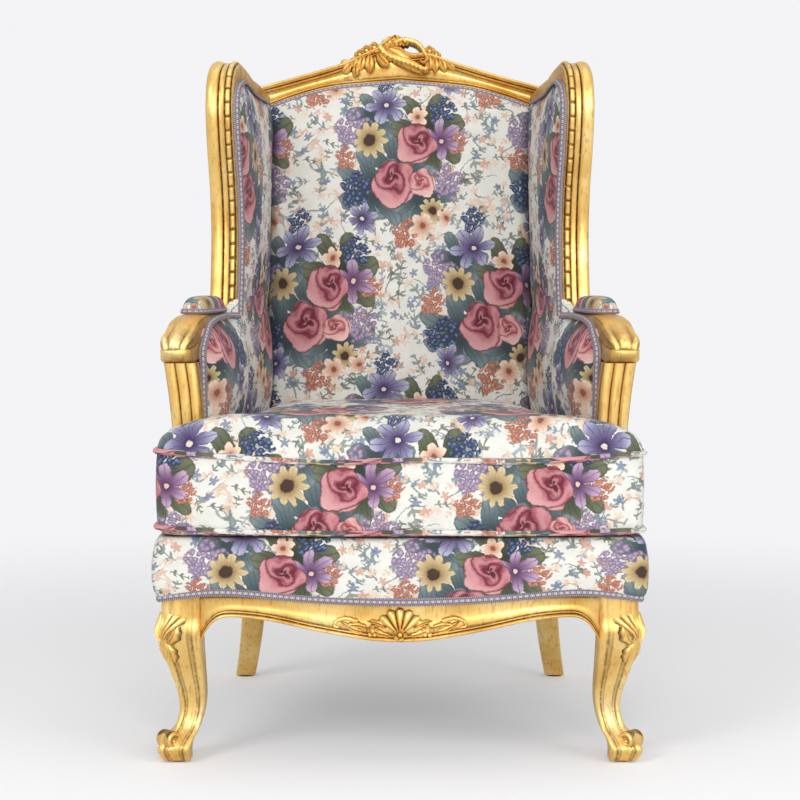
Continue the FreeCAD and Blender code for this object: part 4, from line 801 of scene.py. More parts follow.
def make_front_rail():
    """Front rail: a cove between mouldings, with a bead along its serpentine lower edge."""
    xs = spread(-306, 306, 153)
    stations = [(Vector((x, apron_low(x), 0)), Vector((x, RAIL_TOP, 0))) for x in xs]
    low = [(0, -4, 0.8), *bead(0.3, 6, -1, 4.5), *bead(7, 10, -1, 2.5)]
    high = [(0, -2, 0.4), (20, -2, 0.5), (24, -0.5, 0.7)]
    field = [(0.1, -0.5, 0.25), (0.3, -2.2, 0.0), (0.5, -2.8, 0.0), (0.7, -2.2, 0.0), (0.9, -0.5, 0.25)]
    rings = band_rings(stations, low, field, high, lambda p, h: Vector((p.x, rail_face(p.x) - h, p.y)), -28)
    for ring in rings:
        for spot, _ in ring[-2:]:
            spot.y = FACE_Y + 28
    loft("front_apron", rings, ["front_rail"], pair=False)


def make_side_rails():
    """Side rails: a shallow arch with a bead along the lower edge."""
    ys = spread(SIDE_START, SIDE_START + SIDE_RUN, 60)
    stations = [(Vector((y, at([(-285, 209), (-142, 221), (0, 219), (219, 212)], y), 0)),
                 Vector((y, RAIL_TOP, 0))) for y in ys]
    low = [(0, -4, 0.8), *bead(0.3, 6, -3, 3), *bead(7, 10, -3, 2)]
    high = [(0, 0, 0.3), (8, 0, 0.2)]
    field = [(0.2, -1, 0.1), (0.5, -1.5, 0.0), (0.8, -1, 0.0)]
    rings = band_rings(stations, low, field, high, lambda p, h: Vector((side_line(p.x) - h, p.x, p.y)), -28)
    loft("side_apron", rings, ["side_rail"])


def make_front_legs():
    """Cabriole legs: edge mouldings down each corner, a knee, a drawn-in ankle and a scrolled foot."""
    out = [(3, 8), (12, 11), (22, 12), (34, 6), (48, -5), (75, -12.5), (100, -12), (135, -6), (170, 0),
           (195, 3), (212, 0.6), (270, 0)]
    width = [(3, 40), (12, 46), (22, 49), (34, 45), (48, 38), (75, 37.5), (100, 42), (135, 51), (170, 60),
             (195, 64), (212, 60), (270, 60)]
    heights = [3, 6, 10, 14, 18, 22, 26, 30, 34, 38, 43, 48, *spread(54, 210, 24), 216, 230, 250, 268]
    rings = []
    around = spread(0, 2 * math.pi, 96)[:-1]
    for z in heights:
        half, shift = at(width, z) / 2, at(out, z)
        plain = min(max((z - 185) / 20, 0), 1)
        middle = LEG + Vector((-shift, -shift, z))
        ring = []
        for turn in around:
            off = math.degrees((turn - math.pi / 4) % (math.pi / 2))
            off = min(off, 90 - off)
            line = max(0.0, 1 - abs(off - 16) / 4.5)
            inner = max(0.0, 1 - abs(off - 25) / 4)
            hollow = max(0.0, (off - 27) / 18) ** 0.8
            cut = (2.4 * line + 1.2 * inner + 2.6 * hollow) * (half / 30) * (1 - 0.7 * plain)
            radius = half * squared(turn, 7) - cut
            ring.append((middle + Vector((radius * math.cos(turn), radius * math.sin(turn), 0)),
                         max(line, 0.8 * inner) * (1 - 0.6 * plain) + 0.08))
        rings.append(ring)
    loft("cabriole_leg", rings, ["front_leg"])


def make_back_posts():
    """Back posts: kicked legs below the seat rail and raked uprights above it."""
    foot, kicked, shade = 3, 209, 0.15
    rings = []
    for z in (*spread(foot, foot + kicked, 24), 241, *spread(RAIL_TOP, POST_TOP, 10)):
        up = min((z - foot) / kicked, 1)
        kick = (1 - up) ** 2
        raised = max(0, z - RAIL_TOP)
        x = -POST_X - 22 * kick - 14 * raised / (POST_TOP - RAIL_TOP)
        y = POST_Y + 62 * kick + math.tan(RAKE) * raised
        half_x, half_y = 17 + 5 * up, 17 + up
        ring = []
        for turn in spread(0, 2 * math.pi, 32)[:-1]:
            radius = squared(turn, 6)
            across, along = half_x * radius * math.cos(turn), half_y * radius * math.sin(turn)
            ring.append((Vector((x + across, y + along, z)), shade))
        rings.append(ring)
    loft("back_upright", rings, ["back_post"])


class Carver:
    """Carved ornaments gathered into one mesh. place puts across, up and height in space."""

    def __init__(self, place):
        self.place = place
        self.points = []
        self.faces = []
        self.dark = []

    def add(self, rings, join=ring_faces):
        """A form through rings of across, up, height and darkness, or rows that join makes a sheet."""
        first = len(self.points)
        for ring in rings:
            self.points += [self.place(x, y, h) for x, y, h, _ in ring]
            self.dark += [shade for *_, shade in ring]
        self.faces += [tuple(first + i for i in face) for face in join(len(rings), len(rings[0]))]

    def leaf(self, x, y, heading, length, width, lift=6.0, bend=0.0, lobes=0, base=-4.0, full=0.75):
        """A curling leaf with a midrib, thickest along its middle and lobed along its edge."""
        rings, steps = [], 16
        turn = math.radians(heading)
        for step in range(steps + 1):
            share = step / steps
            half = width / 2 * max(0.06, math.sin(math.pi * share ** full)) ** 0.7
            half *= 1 + 0.16 * math.sin(lobes * 2 * math.pi * share)
            side = Vector((-math.sin(turn), math.cos(turn)))
            crown = lift * (0.35 + 0.65 * math.sin(math.pi * (0.15 + 0.8 * share)))
            ring = []
            for k in range(9):
                across = -1 + 2 * k / 8
                rib = 0.4 * math.exp(-(across * 7) ** 2)
                height = crown * (1 - across ** 2) ** 0.6
                ring.append((x + side.x * across * half, y + side.y * across * half, height * (1 - rib),
                             max(0.8 * abs(across) ** 10, rib)))
            ring.append((x + side.x * half, y + side.y * half, base, 1.0))
            ring.append((x - side.x * half, y - side.y * half, base, 1.0))
            rings.append(ring)
            turn += math.radians(bend) / steps
            x += math.cos(turn) * length / steps
            y += math.sin(turn) * length / steps
        self.add(rings)

    def flower(self, x, y, radius, petals=5, lift=6.0, turn=0.0, base=-4.0):
        """An open flower with cupped petals and a button in its middle."""
        rings = []
        around = 40
        button = 0.34
        profile = ((1.0, 0.25), (0.93, 0.62), (0.75, 0.85), (0.5, 0.6), (button, 0.42), (0.3, 0.7),
                   (0.2, 0.85), (0.04, 0.9))
        for share, height in ((1.0, base), *[(share, lift * height) for share, height in profile]):
            ring = []
            for k in range(around):
                angle = 2 * math.pi * k / around
                cup = abs(math.cos(petals * (angle - turn) / 2))
                edge = 1 if share < 0.4 else 0.7 + 0.3 * cup ** 0.6
                groove = 1 - cup if share > button else 0
                reach = radius * share * edge
                ring.append((x + reach * math.cos(angle), y + reach * math.sin(angle),
                             height * (1 - 0.3 * groove ** 3),
                             1.0 if share in (button, 1.0) else groove ** 4))
            rings.append(ring)
        self.add(rings)

    def scroll(self, path, width, lift=7.0, ribs=0, base=-5.0):
        """A rounded band along a path, ribbed across like a gadroon."""
        rings = []
        count = len(path)
        for i, point in enumerate(path):
            share = i / (count - 1)
            along = (path[min(i + 1, count - 1)] - path[max(i - 1, 0)]).normalized()
            side = Vector((-along.y, along.x, 0))
            half = width(share) / 2
            rib = abs(math.sin(ribs * math.pi * share)) if ribs else 1
            ring = []
            for k in range(9):
                angle = math.pi * k / 8
                edge = 1 - 0.4 * (1 - rib) * max(0.0, 1 - k / 3)
                spot = point - side * math.cos(angle) * half * edge
                cut = (1 - rib) * max(0.0, 1 - k / 5)
                ring.append((spot.x, spot.y, lift * math.sin(angle) ** 0.8 * (1 - 0.45 * cut),
                             max(cut ** 2, 1.0 if k in (0, 8) else 0.0)))
            low, high = point + side * half, point - side * half
            ring.append((low.x, low.y, base, 0.6))
            ring.append((high.x, high.y, base, 0.6))
            rings.append(ring)
        self.add(rings)

    def shell(self, x, y, heading, radius, opening, ribs, lift=8.0, base=-4.0):
        """A ribbed fan."""
        rows = []
        across = ribs * 6
        for share, fixed in ((0.06, None), (0.25, None), (0.5, None), (0.75, None), (0.92, None),
                             (1.0, lift * 0.25), (1.0, base)):
            row = []
            for k in range(across + 1):
                angle = math.radians(heading - opening + 2 * opening * k / across)
                rib = abs(math.sin(math.pi * ribs * k / across))
                reach = radius * share * (0.86 + 0.14 * rib ** 0.7)
                height = lift * math.sin(math.pi * (0.12 + 0.8 * share)) ** 0.7 * (0.55 + 0.45 * rib)
                row.append((x + reach * math.cos(angle), y + reach * math.sin(angle),
                            height if fixed is None else fixed, (1 - rib) ** 3))
            rows.append(row)
        self.add(rows, lambda count, size: grid_faces(size, count))

    def ball(self, x, y, radius, lift):
        """A small bead."""
        rings = []
        angles = spread(0, 2 * math.pi, 14)[:-1]
        for turn in spread(0, math.pi / 2, 4):
            reach = max(radius * math.cos(turn), 0.2)
            rings.append([(x + reach * math.cos(angle), y + reach * math.sin(angle),
                           lift * math.sin(turn) - 1.5, 0.0 if turn else 1.0) for angle in angles])
        self.add(rings)

    def finish(self, name, pair=False):
        """Makes the piece, or a left and a right one."""
        add = add_pair if pair else add_piece
        add(name, self.points, self.faces, *GILT, dark=self.dark)


# Finger leaves of the cresting: across, up, heading, length, width and bend
CREST_FINGERS = ((-72, 838, 226, 27, 18, 24), (-62, 842, 246, 33, 19, 18), (-52, 845, 262, 38, 21, 12),
                 (-42, 846, 290, 37, 21, 38), (-82, 826, 192, 25, 18, 14), (-84, 824, 232, 25, 17, -8),
                 (-78, 822, 272, 21, 15, -8), (51, 844, 264, 34, 19, 16), (59, 840, 282, 33, 18, -10),
                 (68, 835, 302, 30, 17, -16), (76, 829, 326, 27, 15, -10))
# Its flowers: across, up, radius and lift
CREST_FLOWERS = ((-45, 850, 12, 10), (-59, 845, 11, 9), (-71, 838, 10, 8), (-18, 859, 12, 13),
                 (-3, 862, 11, 14), (9, 861, 9, 12), (52, 844, 11, 9), (64, 837, 9, 8))


def make_crest_carving():
    """Cresting: a ribbed band and an arc round an opening, between sprays of leaves and small flowers."""
    face = 12
    carver = Carver(lambda x, up, h: back_point(x, up - 4, face + h))

    def curve(*keys):
        return smooth_path([Vector((x, up, 0)) for x, up in keys], 110)

    carver.leaf(-36, 856, -30, 92, 30, 7, -8, 0, -14)
    band = curve((-36, 852), (-28, 841), (-15, 833), (0, 828), (17, 822), (31, 816), (42, 811), (48, 814))
    carver.scroll(band, lambda t: 12 + 5 * math.sin(math.pi * t), 12, 12, -14)
    carver.scroll(curve((-10, 858), (2, 864), (17, 863), (30, 858), (39, 849), (44, 838)),
                  lambda t: 8 + 3 * math.sin(math.pi * t), 11, 0, -18)
    carver.scroll(curve((44, 840), (48, 830), (42, 823), (35, 827)), lambda t: 10 - 5 * t, 12, 0, -14)
    for x, up, heading, length, width, bend in ((-38, 848, 32, 40, 17, 16), (-30, 846, 52, 26, 13, -20)):
        carver.leaf(x, up, heading, length, width, 12, bend, 3, -18)
    for x, up, heading, length, width, bend in CREST_FINGERS:
        carver.leaf(x, up, heading, length, width, 8, bend, 0, -10, 1.5)
    for x, up, radius, lift in CREST_FLOWERS:
        carver.flower(x, up, min(radius, BACK_TOP + 2 - up), 5, lift, 0.4, -16)
    carver.finish("crest_carving")


def make_apron_carving():
    """Middle of the front rail: a shell over a flower between leaves and small flowers."""
    carver = Carver(lambda x, z, h: Vector((x, rail_face(x) + 2 - h, z + 8)))
    carver.shell(0, 186, 90, 40, 58, 5, 11)
    carver.flower(0, 186, 11, 5, 10)
    for side in (1, -1):
        carver.flower(side * 40, 191, 10, 5, 7, 0.3)
        for x, z, heading, length, width, bend in ((14, 184, 8, 40, 12, 22), (48, 196, 24, 34, 11, -40),
                                                   (20, 196, 40, 30, 10, -40), (54, 190, 10, 38, 10, 30)):
            carver.leaf(side * x, z, heading if side > 0 else 180 - heading, length, width, 6, bend * side, 3)
        carver.scroll(smooth_path([Vector((side * x, z, 0)) for x, z in
                                   ((62, 205), (78, 210), (92, 206), (96, 199), (89, 197))], 24),
                      lambda t: 9 - 4 * t, 6, 6)
    carver.finish("apron_carving")


CORNER_OUT = Vector((-0.7071, -0.7071, 0))
CORNER_ALONG = Vector((0.7071, -0.7071, 0))
TOE_OUT = 30
TOE_HEIGHT = 33


def knee_point(x, z, h):
    """A point on the left leg's outer corner: along it sideways, up, and out from it."""
    out = at([(40, -4), (75, -12.5), (100, -12), (135, -6), (170, 0), (195, 3), (212, 0.6), (270, 0)], z)
    half = at([(48, 18), (75, 18.7), (100, 21), (135, 25.5), (170, 30), (195, 32), (212, 30), (270, 30)], z)
    corner = half * 1.1 + h + out * 1.414 - 0.018 * x * x
    return LEG + CORNER_OUT * corner + CORNER_ALONG * x + Vector((0, 0, z))


def toe_point(along, z, h):
    """A point at the left foot: out along the leg's corner, up, and sideways."""
    return LEG + CORNER_OUT * along + CORNER_ALONG * h + Vector((0, 0, z))


def make_knee_carving():
    """Knees: a shell on the outer corner over leaves and a string of beads."""
    carver = Carver(knee_point)
    carver.shell(0, 176, 90, 48, 40, 7, 8)
    for x, heading, bend in ((0, -90, 0), (-6, -120, 40), (6, -60, -40), (-9, 150, -60), (9, 30, 60)):
        carver.leaf(x, 178, heading, 30, 11, 6, bend, 3)
    for number in range(6):
        carver.ball(0, 143 - 9 * number, 4.2 - 0.4 * number, 5.5 - 0.4 * number)
    carver.finish("knee_carving", True)


def make_toes():
    """Toes: a roll across the foot with a scroll at each end."""
    def around(turn, reach):
        return TOE_OUT + reach * math.cos(turn), TOE_HEIGHT + reach * math.sin(turn)

    drum = Carver(toe_point)
    drum.add([[(*around(2 * math.pi * k / 40, reach), h, shade) for k in range(40)]
              for h, reach, shade in ((-13, 9, 0.6), (-12, 12, 0.4), (0, 13, 0.0), (12, 12, 0.4),
                                      (13, 9, 0.6))])
    drum.finish("toe_roll", True)
    spiral = [Vector((*around(math.radians(205 - 470 * share), 11 * (1 - share) + 2.5), 0))
              for share in spread(0, 1, 59)]
    for end, way in (("inner", 1), ("outer", -1)):
        scroll = Carver(lambda along, z, h, way=way: toe_point(along, z, way * (11 + h)))
        scroll.scroll(spiral, lambda t: 6.5 - 3 * t, 5, 0, -12)
        scroll.ball(TOE_OUT, TOE_HEIGHT, 3.5, 7)
        scroll.finish(f"toe_scroll_{end}", True)


make_crest()
make_crest_carving()
make_apron_carving()
make_knee_carving()
make_toes()
make_wing_rails()
make_arms()
make_supports()
make_front_rail()
make_side_rails()
make_front_legs()
make_back_posts()

# Upholstery


def panel(columns, rows, surface, thickness):
    """A padded panel: a front sheet from a function of two shares, and a back sheet behind it."""
    points, uv = [], []
    for behind in (False, True):
        for r in range(rows):
            for c in range(columns):
                spot, inward, mapped = surface(c / (columns - 1), r / (rows - 1))
                points.append(spot + inward * thickness if behind else spot)
                uv.append(mapped)
    front = grid_faces(columns, rows)
    count = columns * rows
    faces = front + [tuple(count + i for i in reversed(face)) for face in front]
    rim = [*range(columns), *[r * columns + columns - 1 for r in range(1, rows)],
           *[(rows - 1) * columns + c for c in range(columns - 2, -1, -1)],
           *[r * columns for r in range(rows - 2, 0, -1)]]
    for k in range(len(rim)):
        a, b = rim[k], rim[(k + 1) % len(rim)]
        faces.append((b, a, count + a, count + b))
    return points, faces, uv


def swell(a, b, power=2.4):
    """How full a pad is at two shares of its width and height."""
    return (1 - abs(2 * a - 1) ** power) * (1 - abs(2 * b - 1) ** power)


def make_inside_back():
    """Inside back: crowned, its top edge following the crest."""
    base, low, width = 24, 62, 460

    def surface(a, b):
        x = width * (a - 0.5)
        up = low + (crest_low(x) + 1 - low) * b
        fold = noise.noise(Vector((x * 0.012, up * 0.009, 1.7))) * 1.6
        crown = 26 + 34 * swell(a, b, 3.0) ** 0.8 + fold * swell(a, b, 2)
        edge = min(1, (min(a, 1 - a) * width) / 18, (1 - b) * 15) ** 0.6
        return back_point(x, up, base + crown * edge), Vector((0, 0.99, -0.14)), (x * MM, (up - 636) * MM)

    points, faces, uv = panel(93, 121, surface, 8)
    add_piece("inside_back_pad", points, faces, *FLORAL, ["inside_back"], uv=uv, soft=0.8, sharp=60)


WING_MIDDLE = Vector((110, 850, 0))
WING_FOOT = Vector((30, 645, 0))


def wing_edge(share, inner):
    """A wing cloth's outline: round its inner edge, then down the post and along the arm."""
    if share < 0.6:
        spot = share / 0.6 * (len(inner) - 1)
        low = int(min(spot, len(inner) - 2))
        return inner[low].lerp(inner[low + 1], spot - low)
    if share < 0.85:
        return inner[-1].lerp(WING_FOOT, (share - 0.6) / 0.25)
    return WING_FOOT.lerp(inner[0], (share - 0.85) / 0.15)


def make_wing_pads():
    """Inside wings: padding inside the show wood, and the outside wings behind it."""
    keys = smooth_path(wing_keys(), 160)
    normals = edge_normals(keys)
    around, rounds = 160, 22

    def mapped(spot):
        return spot.x * MM + 0.05, spot.y * MM + 0.12

    for name, node, face, crown, way, inset in (("wing_cushion", "wing_pad", -20, 15, -1, 10),
                                                ("wing_outside", "outside_wing", 15.5, 4, 1, 31)):
        inner = [p + n * wing_inset(p.y, inset, 33) for p, n in zip(keys, normals)]
        rims = [wing_edge(k / around, inner) for k in range(around)]
        points, uv = [], []
        for share in spread(0, 1, rounds - 1):
            lift = crown * (1 - (1 - share) ** 3.2) ** 0.9
            for rim in rims:
                spot = WING_MIDDLE.lerp(rim, 1 - share)
                wrinkle = noise.noise(Vector((spot.x * 0.015, spot.y * 0.012, 4.2))) * 1.5 * min(1, share * 3)
                points.append(wing_point(spot.x, spot.y, face + way * (lift + wrinkle)))
                uv.append(mapped(spot))
        back = len(points)
        faces = ring_faces(rounds, around, caps=False)
        faces.append(tuple(range(back - around, back)))
        points += [wing_point(rim.x, rim.y, face - way * 6) for rim in rims]
        uv += [mapped(rim) for rim in rims]
        faces += [(k, (k + 1) % around, back + (k + 1) % around, back + k) for k in range(around)]
        faces.append(tuple(back + k for k in reversed(range(around))))
        add_pair(name, points, faces, *FLORAL, [node], uv=uv, soft=0.85, sharp=60)


def make_inside_arms():
    """Inside arms: padded from the deck to the arm, rounding over towards it. Outside arms: plain panels."""
    def surface(a, b):
        y = -188 + 428 * a
        behind = min(max((y + 25) / 50, 0), 1)
        behind = behind * behind * (3 - 2 * behind)
        z = 300 + (344 + 34 * behind) * b
        above = min(max((z - 462) / 190, 0), 1)
        nose = math.sin(math.pi / 2 * min(1, a / 0.12)) ** 0.7
        push = 22 * math.sin(math.pi * above) ** 0.8 * (1 - 0.55 * behind) * nose + 3 * nose
        over = max(0, (b - 0.8) / 0.2)
        x = inside_line(y) + push - 10 * (1 - nose) - 20 * over ** 2.4 * (1 - behind)
        return Vector((x, y, z)), Vector((-1, 0, 0)), (0.02 - y * MM, z * MM + 0.1)

    points, faces, uv = panel(61, 61, surface, 10)
    add_pair("inside_arm_pad", points, faces, *FLORAL, ["inside_arm"], uv=uv, soft=0.8, sharp=60)

    def outer(a, b):
        y = -205 + (post_front(300 + 320 * b) + 24 + 205) * a
        z = 272 + 354 * b
        x = side_line(y, 4.5) - 3.5 * swell(a, b)
        return Vector((x, y, z)), Vector((1, 0, 0)), (y * MM + 0.02, z * MM + 0.1)

    points, faces, uv = panel(41, 31, outer, 4)
    add_pair("outside_arm_panel", points, faces, *FLORAL, ["outside_arm"], uv=uv, soft=0.9, sharp=60)


def make_outside_back():
    """Outside back: a slightly padded panel between the posts."""
    def surface(a, b):
        x = (231 + 13 * b) * (2 * a - 1)
        up = 6 + (crest_low(x) - 2) * b
        return back_point(x, up, -14.5 - 3 * swell(a, b)), Vector((0, -0.99, 0.14)), (x * MM, up * MM + 0.3)

    points, faces, uv = panel(61, 61, surface, 5)
    add_piece("outside_back_panel", points, faces, *FLORAL, ["outside_back"], uv=uv, soft=0.9,
              sharp=60)


def arm_pad_point(turn, half, length, size=1.0):
    """X and Y round the left arm pad."""
    radius = squared(turn, 3.2) * size
    y = -66 + length * radius * math.sin(turn)
    return arm_line(y) + half * radius * math.cos(turn), y


def make_arm_pads():
    """Arm pads: small domed cushions on the arms."""
    points, uv = [], []
    rounds, around = 14, 64
    for share in spread(0, 1, rounds - 1):
        size = math.cos(share * math.pi / 2) ** 0.55 if share < 1 else 0.0
        z = ARM_TOP - 1 + 27 * math.sin(share * math.pi / 2) ** 0.75
        for k in range(around):
            x, y = arm_pad_point(2 * math.pi * k / around, 22.5, 76, size)
            points.append(Vector((x, y, z)))
            uv.append((y * MM + 0.06, (x - arm_line(y)) * MM + z * MM * 0.5 - 0.33))
    faces = ring_faces(rounds, around, caps=False)
    faces.append(tuple(reversed(range(around))))
    add_pair("arm_rest_pad", points, faces, *FLORAL, ["arm_pad"], uv=uv, soft=0.85, sharp=60)


def tee_outline(front, half, ear_back, ear_half, rear_half, rear, bow, radius, count):
    """Even points round a T-shaped plan with a bowed front and rounded corners."""
    right = [(half, front + bow), (half, ear_back), (ear_half, ear_back), (rear_half, rear)]
    left = [(-x, y) for x, y in reversed(right)]
    corners = [Vector((x, y, 0)) for x, y in (left[-1], *right, *left[:-1])]
    dense = []
    for i, here in enumerate(corners):
        back, ahead = corners[i - 1] - here, corners[(i + 1) % len(corners)] - here
        reach = min(radius, back.length * 0.45, ahead.length * 0.45)
        start, stop = here + back.normalized() * reach, here + ahead.normalized() * reach
        dense += [start * (1 - t) ** 2 + here * 2 * t * (1 - t) + stop * t ** 2 for t in spread(0, 1, 8)]
    closed = even([*dense, dense[0]], 2400, True)
    for point in closed:
        share = min(max((ear_back - point.y) / (ear_back - front - bow), 0), 1)
        point.y -= bow * (1 - (point.x / half) ** 2) * share ** 2
    return even([*closed, closed[0]], count, True)


def deck_low(x):
    """Height of the deck's lower edge, a serpentine line along the front rail."""
    return at([(0, 244), (110, 247), (250, 257), (310, 253), (356, 246)], abs(x))


def deck_outline(out, count):
    """The deck's plan, its front and sides moved out."""
    return tee_outline(front=-361 - out, half=350 + out, ear_back=-249, ear_half=298, rear_half=228, rear=184,
                       bow=16, radius=16, count=count)


def make_deck():
    """Deck: its stuffed edge rolls out over the seat rails."""
    levels = []
    for share in spread(0, 1, 12):
        turn = math.pi * share
        levels.append(((1 - math.cos(turn)) / 2, 4 * (1 - share) + 11 * math.sin(turn) ** 0.75))
    levels += [(1, -14), (0.99, -60)]
    points, uv = [], []
    count = 260
    base = deck_outline(0, count)
    middle = Vector((0, -60, 0))
    for share, out in levels:
        for still, point in zip(base, deck_outline(out, count)):
            low = deck_low(point.x) if point.y < -240 else 262
            z = low + (DECK_TOP - low) * share
            puff = noise.noise(Vector((still.x * 0.01, still.y * 0.01, z * 0.02))) * 1.2 if out > 2 else 0
            spot = point + (point - middle).normalized() * puff
            points.append(Vector((spot.x, spot.y, z)))
            if out < 0:
                uv.append((point.x * MM + 0.2, (point.y + 375) * MM + 0.092))
            else:
                uv.append((round_corner(point.x, point.y, 357) * MM + 0.2, z * MM * 1.2 - 0.31))
    faces = ring_faces(len(levels), count, caps=False)
    faces.append(tuple(range(len(points) - count, len(points))))
    add_piece("deck_roll", points, faces, *FLORAL, ["seat_deck"], uv=uv, soft=0.8, sharp=60)


def tube(path, radius, sides):
    """A round tube along a closed run of points: its points, and how far along and round each one is."""
    points, uv = [], []
    up = Vector((0, 0, 1))
    run = 0.0
    for i, point in enumerate(path):
        along = (path[(i + 1) % len(path)] - path[i - 1]).normalized()
        side = along.cross(up).normalized()
        over = side.cross(along)
        run += (point - path[i - 1]).length if i else 0
        for k in range(sides):
            turn = 2 * math.pi * k / sides
            points.append(point + (side * math.cos(turn) + over * math.sin(turn)) * radius)
            uv.append((run * MM, k / sides * radius * 6.28 * MM))
    return points, uv


def seam_lift(x, upper):
    """How far a seam of the cushion rises towards the front corners and wavers, in millimetres."""
    corner = (abs(x) / 355) ** 2.5
    height = 11 if upper else 4
    return (height - 0.007 * x) * corner + (1.8 if upper else 0.8) * math.sin(0.021 * x + 0.8)


def seam_shift(x, z, rise=0.0):
    """What the seams' lift makes of a height on the cushion."""
    share = min(max((z - LOWER_SEAM) / (UPPER_SEAM - LOWER_SEAM), 0), 1)
    fixed = min(max((z - 338) / 5, 0), 1)
    lift = seam_lift(x, False) * (1 - share) + seam_lift(x, True) * share
    return lift * fixed * (1 - rise)


def cushion_outline(inset, rise, count):
    """The cushion's plan, drawn in all round and shrunk towards the crown."""
    return tee_outline(front=-373 + inset + 86 * rise, half=(355 - inset) * (1 - 0.74 * rise),
                       ear_back=-258 - inset + 26 * rise, ear_half=(294 - inset) * (1 - 0.76 * rise),
                       rear_half=(229 - inset) * (1 - 0.76 * rise), rear=153 - inset - 170 * rise, bow=14,
                       radius=26 - 16 * rise, count=count)


def make_cushion():
    """Seat cushion: a crowned, drawn-in form, puffed by a cloth simulation, with piping on its two seams."""
    count = 220
    levels = [(337, 14, 0), (339, 4, 0), (LOWER_SEAM, 0, 0), (352, -0.6, 0), (370, -1.4, 0), (395, -1.8, 0),
              (420, -1.4, 0), (439, -0.6, 0), (UPPER_SEAM, 0, 0)]
    levels += [(UPPER_SEAM + 54 * (1 - (1 - share) ** 2.4) ** 0.66, 0, share ** 1.9)
               for share in spread(0, 1, 28)[1:]]
    points = []
    for z, inset, rise in levels:
        outline = cushion_outline(inset, rise, count)
        points += [Vector((p.x, p.y, z + seam_shift(p.x, z, rise))) for p in outline]
    cushion = add_piece("seat_cushion", points, ring_faces(len(levels), count), *FLORAL,
                        ["cushion_cover", "cushion_core"], body="cushion", soft=0.75, sharp=60)
    puff_cushion(cushion)
    map_cushion(cushion)
    sides = 12
    for name, node, z in (("piping_bottom", "cushion_piping_bottom", LOWER_SEAM),
                          ("piping_top", "cushion_piping_top", UPPER_SEAM)):
        path = tee_outline(front=-374.5, half=356.5, ear_back=-256, ear_half=296, rear_half=231, rear=155,
                           bow=14, radius=26, count=420)
        path = [Vector((p.x, p.y, z + seam_shift(p.x, z) + 1.2 * noise.noise(p * 0.012))) for p in path]
        spots, along = tube(path, 4.0, sides)
        faces = ring_faces(len(path), sides, closed=True)
        add_piece(name, spots, faces, *FLORAL, [node], uv=along, body="cushion", sharp=80)


# Air in the cushion: the most that it moves the boxing and the crown, the mesh's step in metres, and frames
SIDE_PUFF = 0.0035
CROWN_PUFF = 0.009
VOXEL = 0.0055
PUFF_FRAMES = 18


def seam_height(spot):
    """Height of the upper seam beside a point of the cushion, in metres."""
    return (UPPER_SEAM + seam_lift(spot.x / MM, True)) * MM


def puff_cushion(cushion):
    """Swells the cushion's crown and boxing with air pressure, within a cap."""
    remesh = cushion.modifiers.new("even_mesh", "REMESH")
    remesh.voxel_size = VOXEL
    bpy.context.view_layer.objects.active = cushion
    bpy.ops.object.modifier_apply(modifier=remesh.name)
    rest = [v.co.copy() for v in cushion.data.vertices]
    pins = cushion.vertex_groups.new(name="seams")
    held = [v.index for v in cushion.data.vertices
            if v.co.z < (LOWER_SEAM + 2) * MM or abs(v.co.z - seam_height(v.co)) < 0.004]
    pins.add(held, 1.0, "REPLACE")
    cloth = cushion.modifiers.new("air", "CLOTH")
    cloth.settings.quality = 4
    cloth.settings.mass = 0.3
    cloth.settings.use_pressure = True
    cloth.settings.uniform_pressure_force = 4
    cloth.settings.vertex_group_mass = pins.name
    cloth.settings.effector_weights.gravity = 0
    cloth.settings.bending_stiffness = 2
    cloth.collision_settings.use_self_collision = False
    scene = bpy.context.scene
    for number in range(1, PUFF_FRAMES + 1):
        scene.frame_set(number)
    evaluated = cushion.evaluated_get(bpy.context.evaluated_depsgraph_get())
    moved = [v.co.copy() for v in evaluated.data.vertices]
    cushion.modifiers.remove(cloth)
    for vertex, before, after in zip(cushion.data.vertices, rest, moved):
        shift = after - before
        cap = SIDE_PUFF if before.z < seam_height(before) + 0.006 else CROWN_PUFF
        if shift.length > cap:
            shift *= cap / shift.length
        vertex.co = before + shift
    scene.frame_set(1)
    smooth = cushion.modifiers.new("relax", "SMOOTH")
    smooth.iterations = 6
    bpy.ops.object.modifier_apply(modifier=smooth.name)
    cushion.vertex_groups.clear()
    cushion.data.shade_smooth()


def round_corner(x, y, half):
    """Distance from the middle along the front, round the corners and back along the sides."""
    inward = y > -270
    across = 2 * half - abs(x) if inward else abs(x)
    behind = max(0.0, y + 350) if inward or abs(x) > 300 else 0.0
    return math.copysign(across + behind, x)


def map_cushion(cushion):
    """Cloth map of the cushion: its top and bottom as seen from above, its boxing as it runs round."""
    mesh = cushion.data
    layer = mesh.uv_layers.get("cloth") or mesh.uv_layers.new(name="cloth")
    for face in mesh.polygons:
        for index in face.loop_indices:
            spot = mesh.vertices[mesh.loops[index].vertex_index].co
            if spot.z > seam_height(spot) + 0.001 or abs(face.normal.z) > 0.7:
                layer.data[index].uv = (spot.x + 0.13, spot.y * 1.02 + spot.z * 0.4 + 0.02)
            else:
                run = round_corner(spot.x / MM, spot.y / MM, 355) * MM
                layer.data[index].uv = (run + 0.11, spot.z * 1.1 - 0.42)


def make_dust_cover():
    """Dust cover: cambric stretched under the seat, sagging a little."""
    def surface(a, b):
        y = -315 + 536 * b
        half = -side_line(y, 31)
        x = -half + 2 * half * a
        z = 221 - 2.2 * swell(a, b)
        return Vector((x, y, z)), Vector((0, 0, 1)), (x * MM, y * MM)

    points, faces, uv = panel(31, 31, surface, 0.8)
    cover = add_piece("dust_cloth", points, faces, cambric, "cambric", ["dust_cover"], uv=uv)


GIMP_STEP = 1.4
GIMP_SCALLOP = 5.6


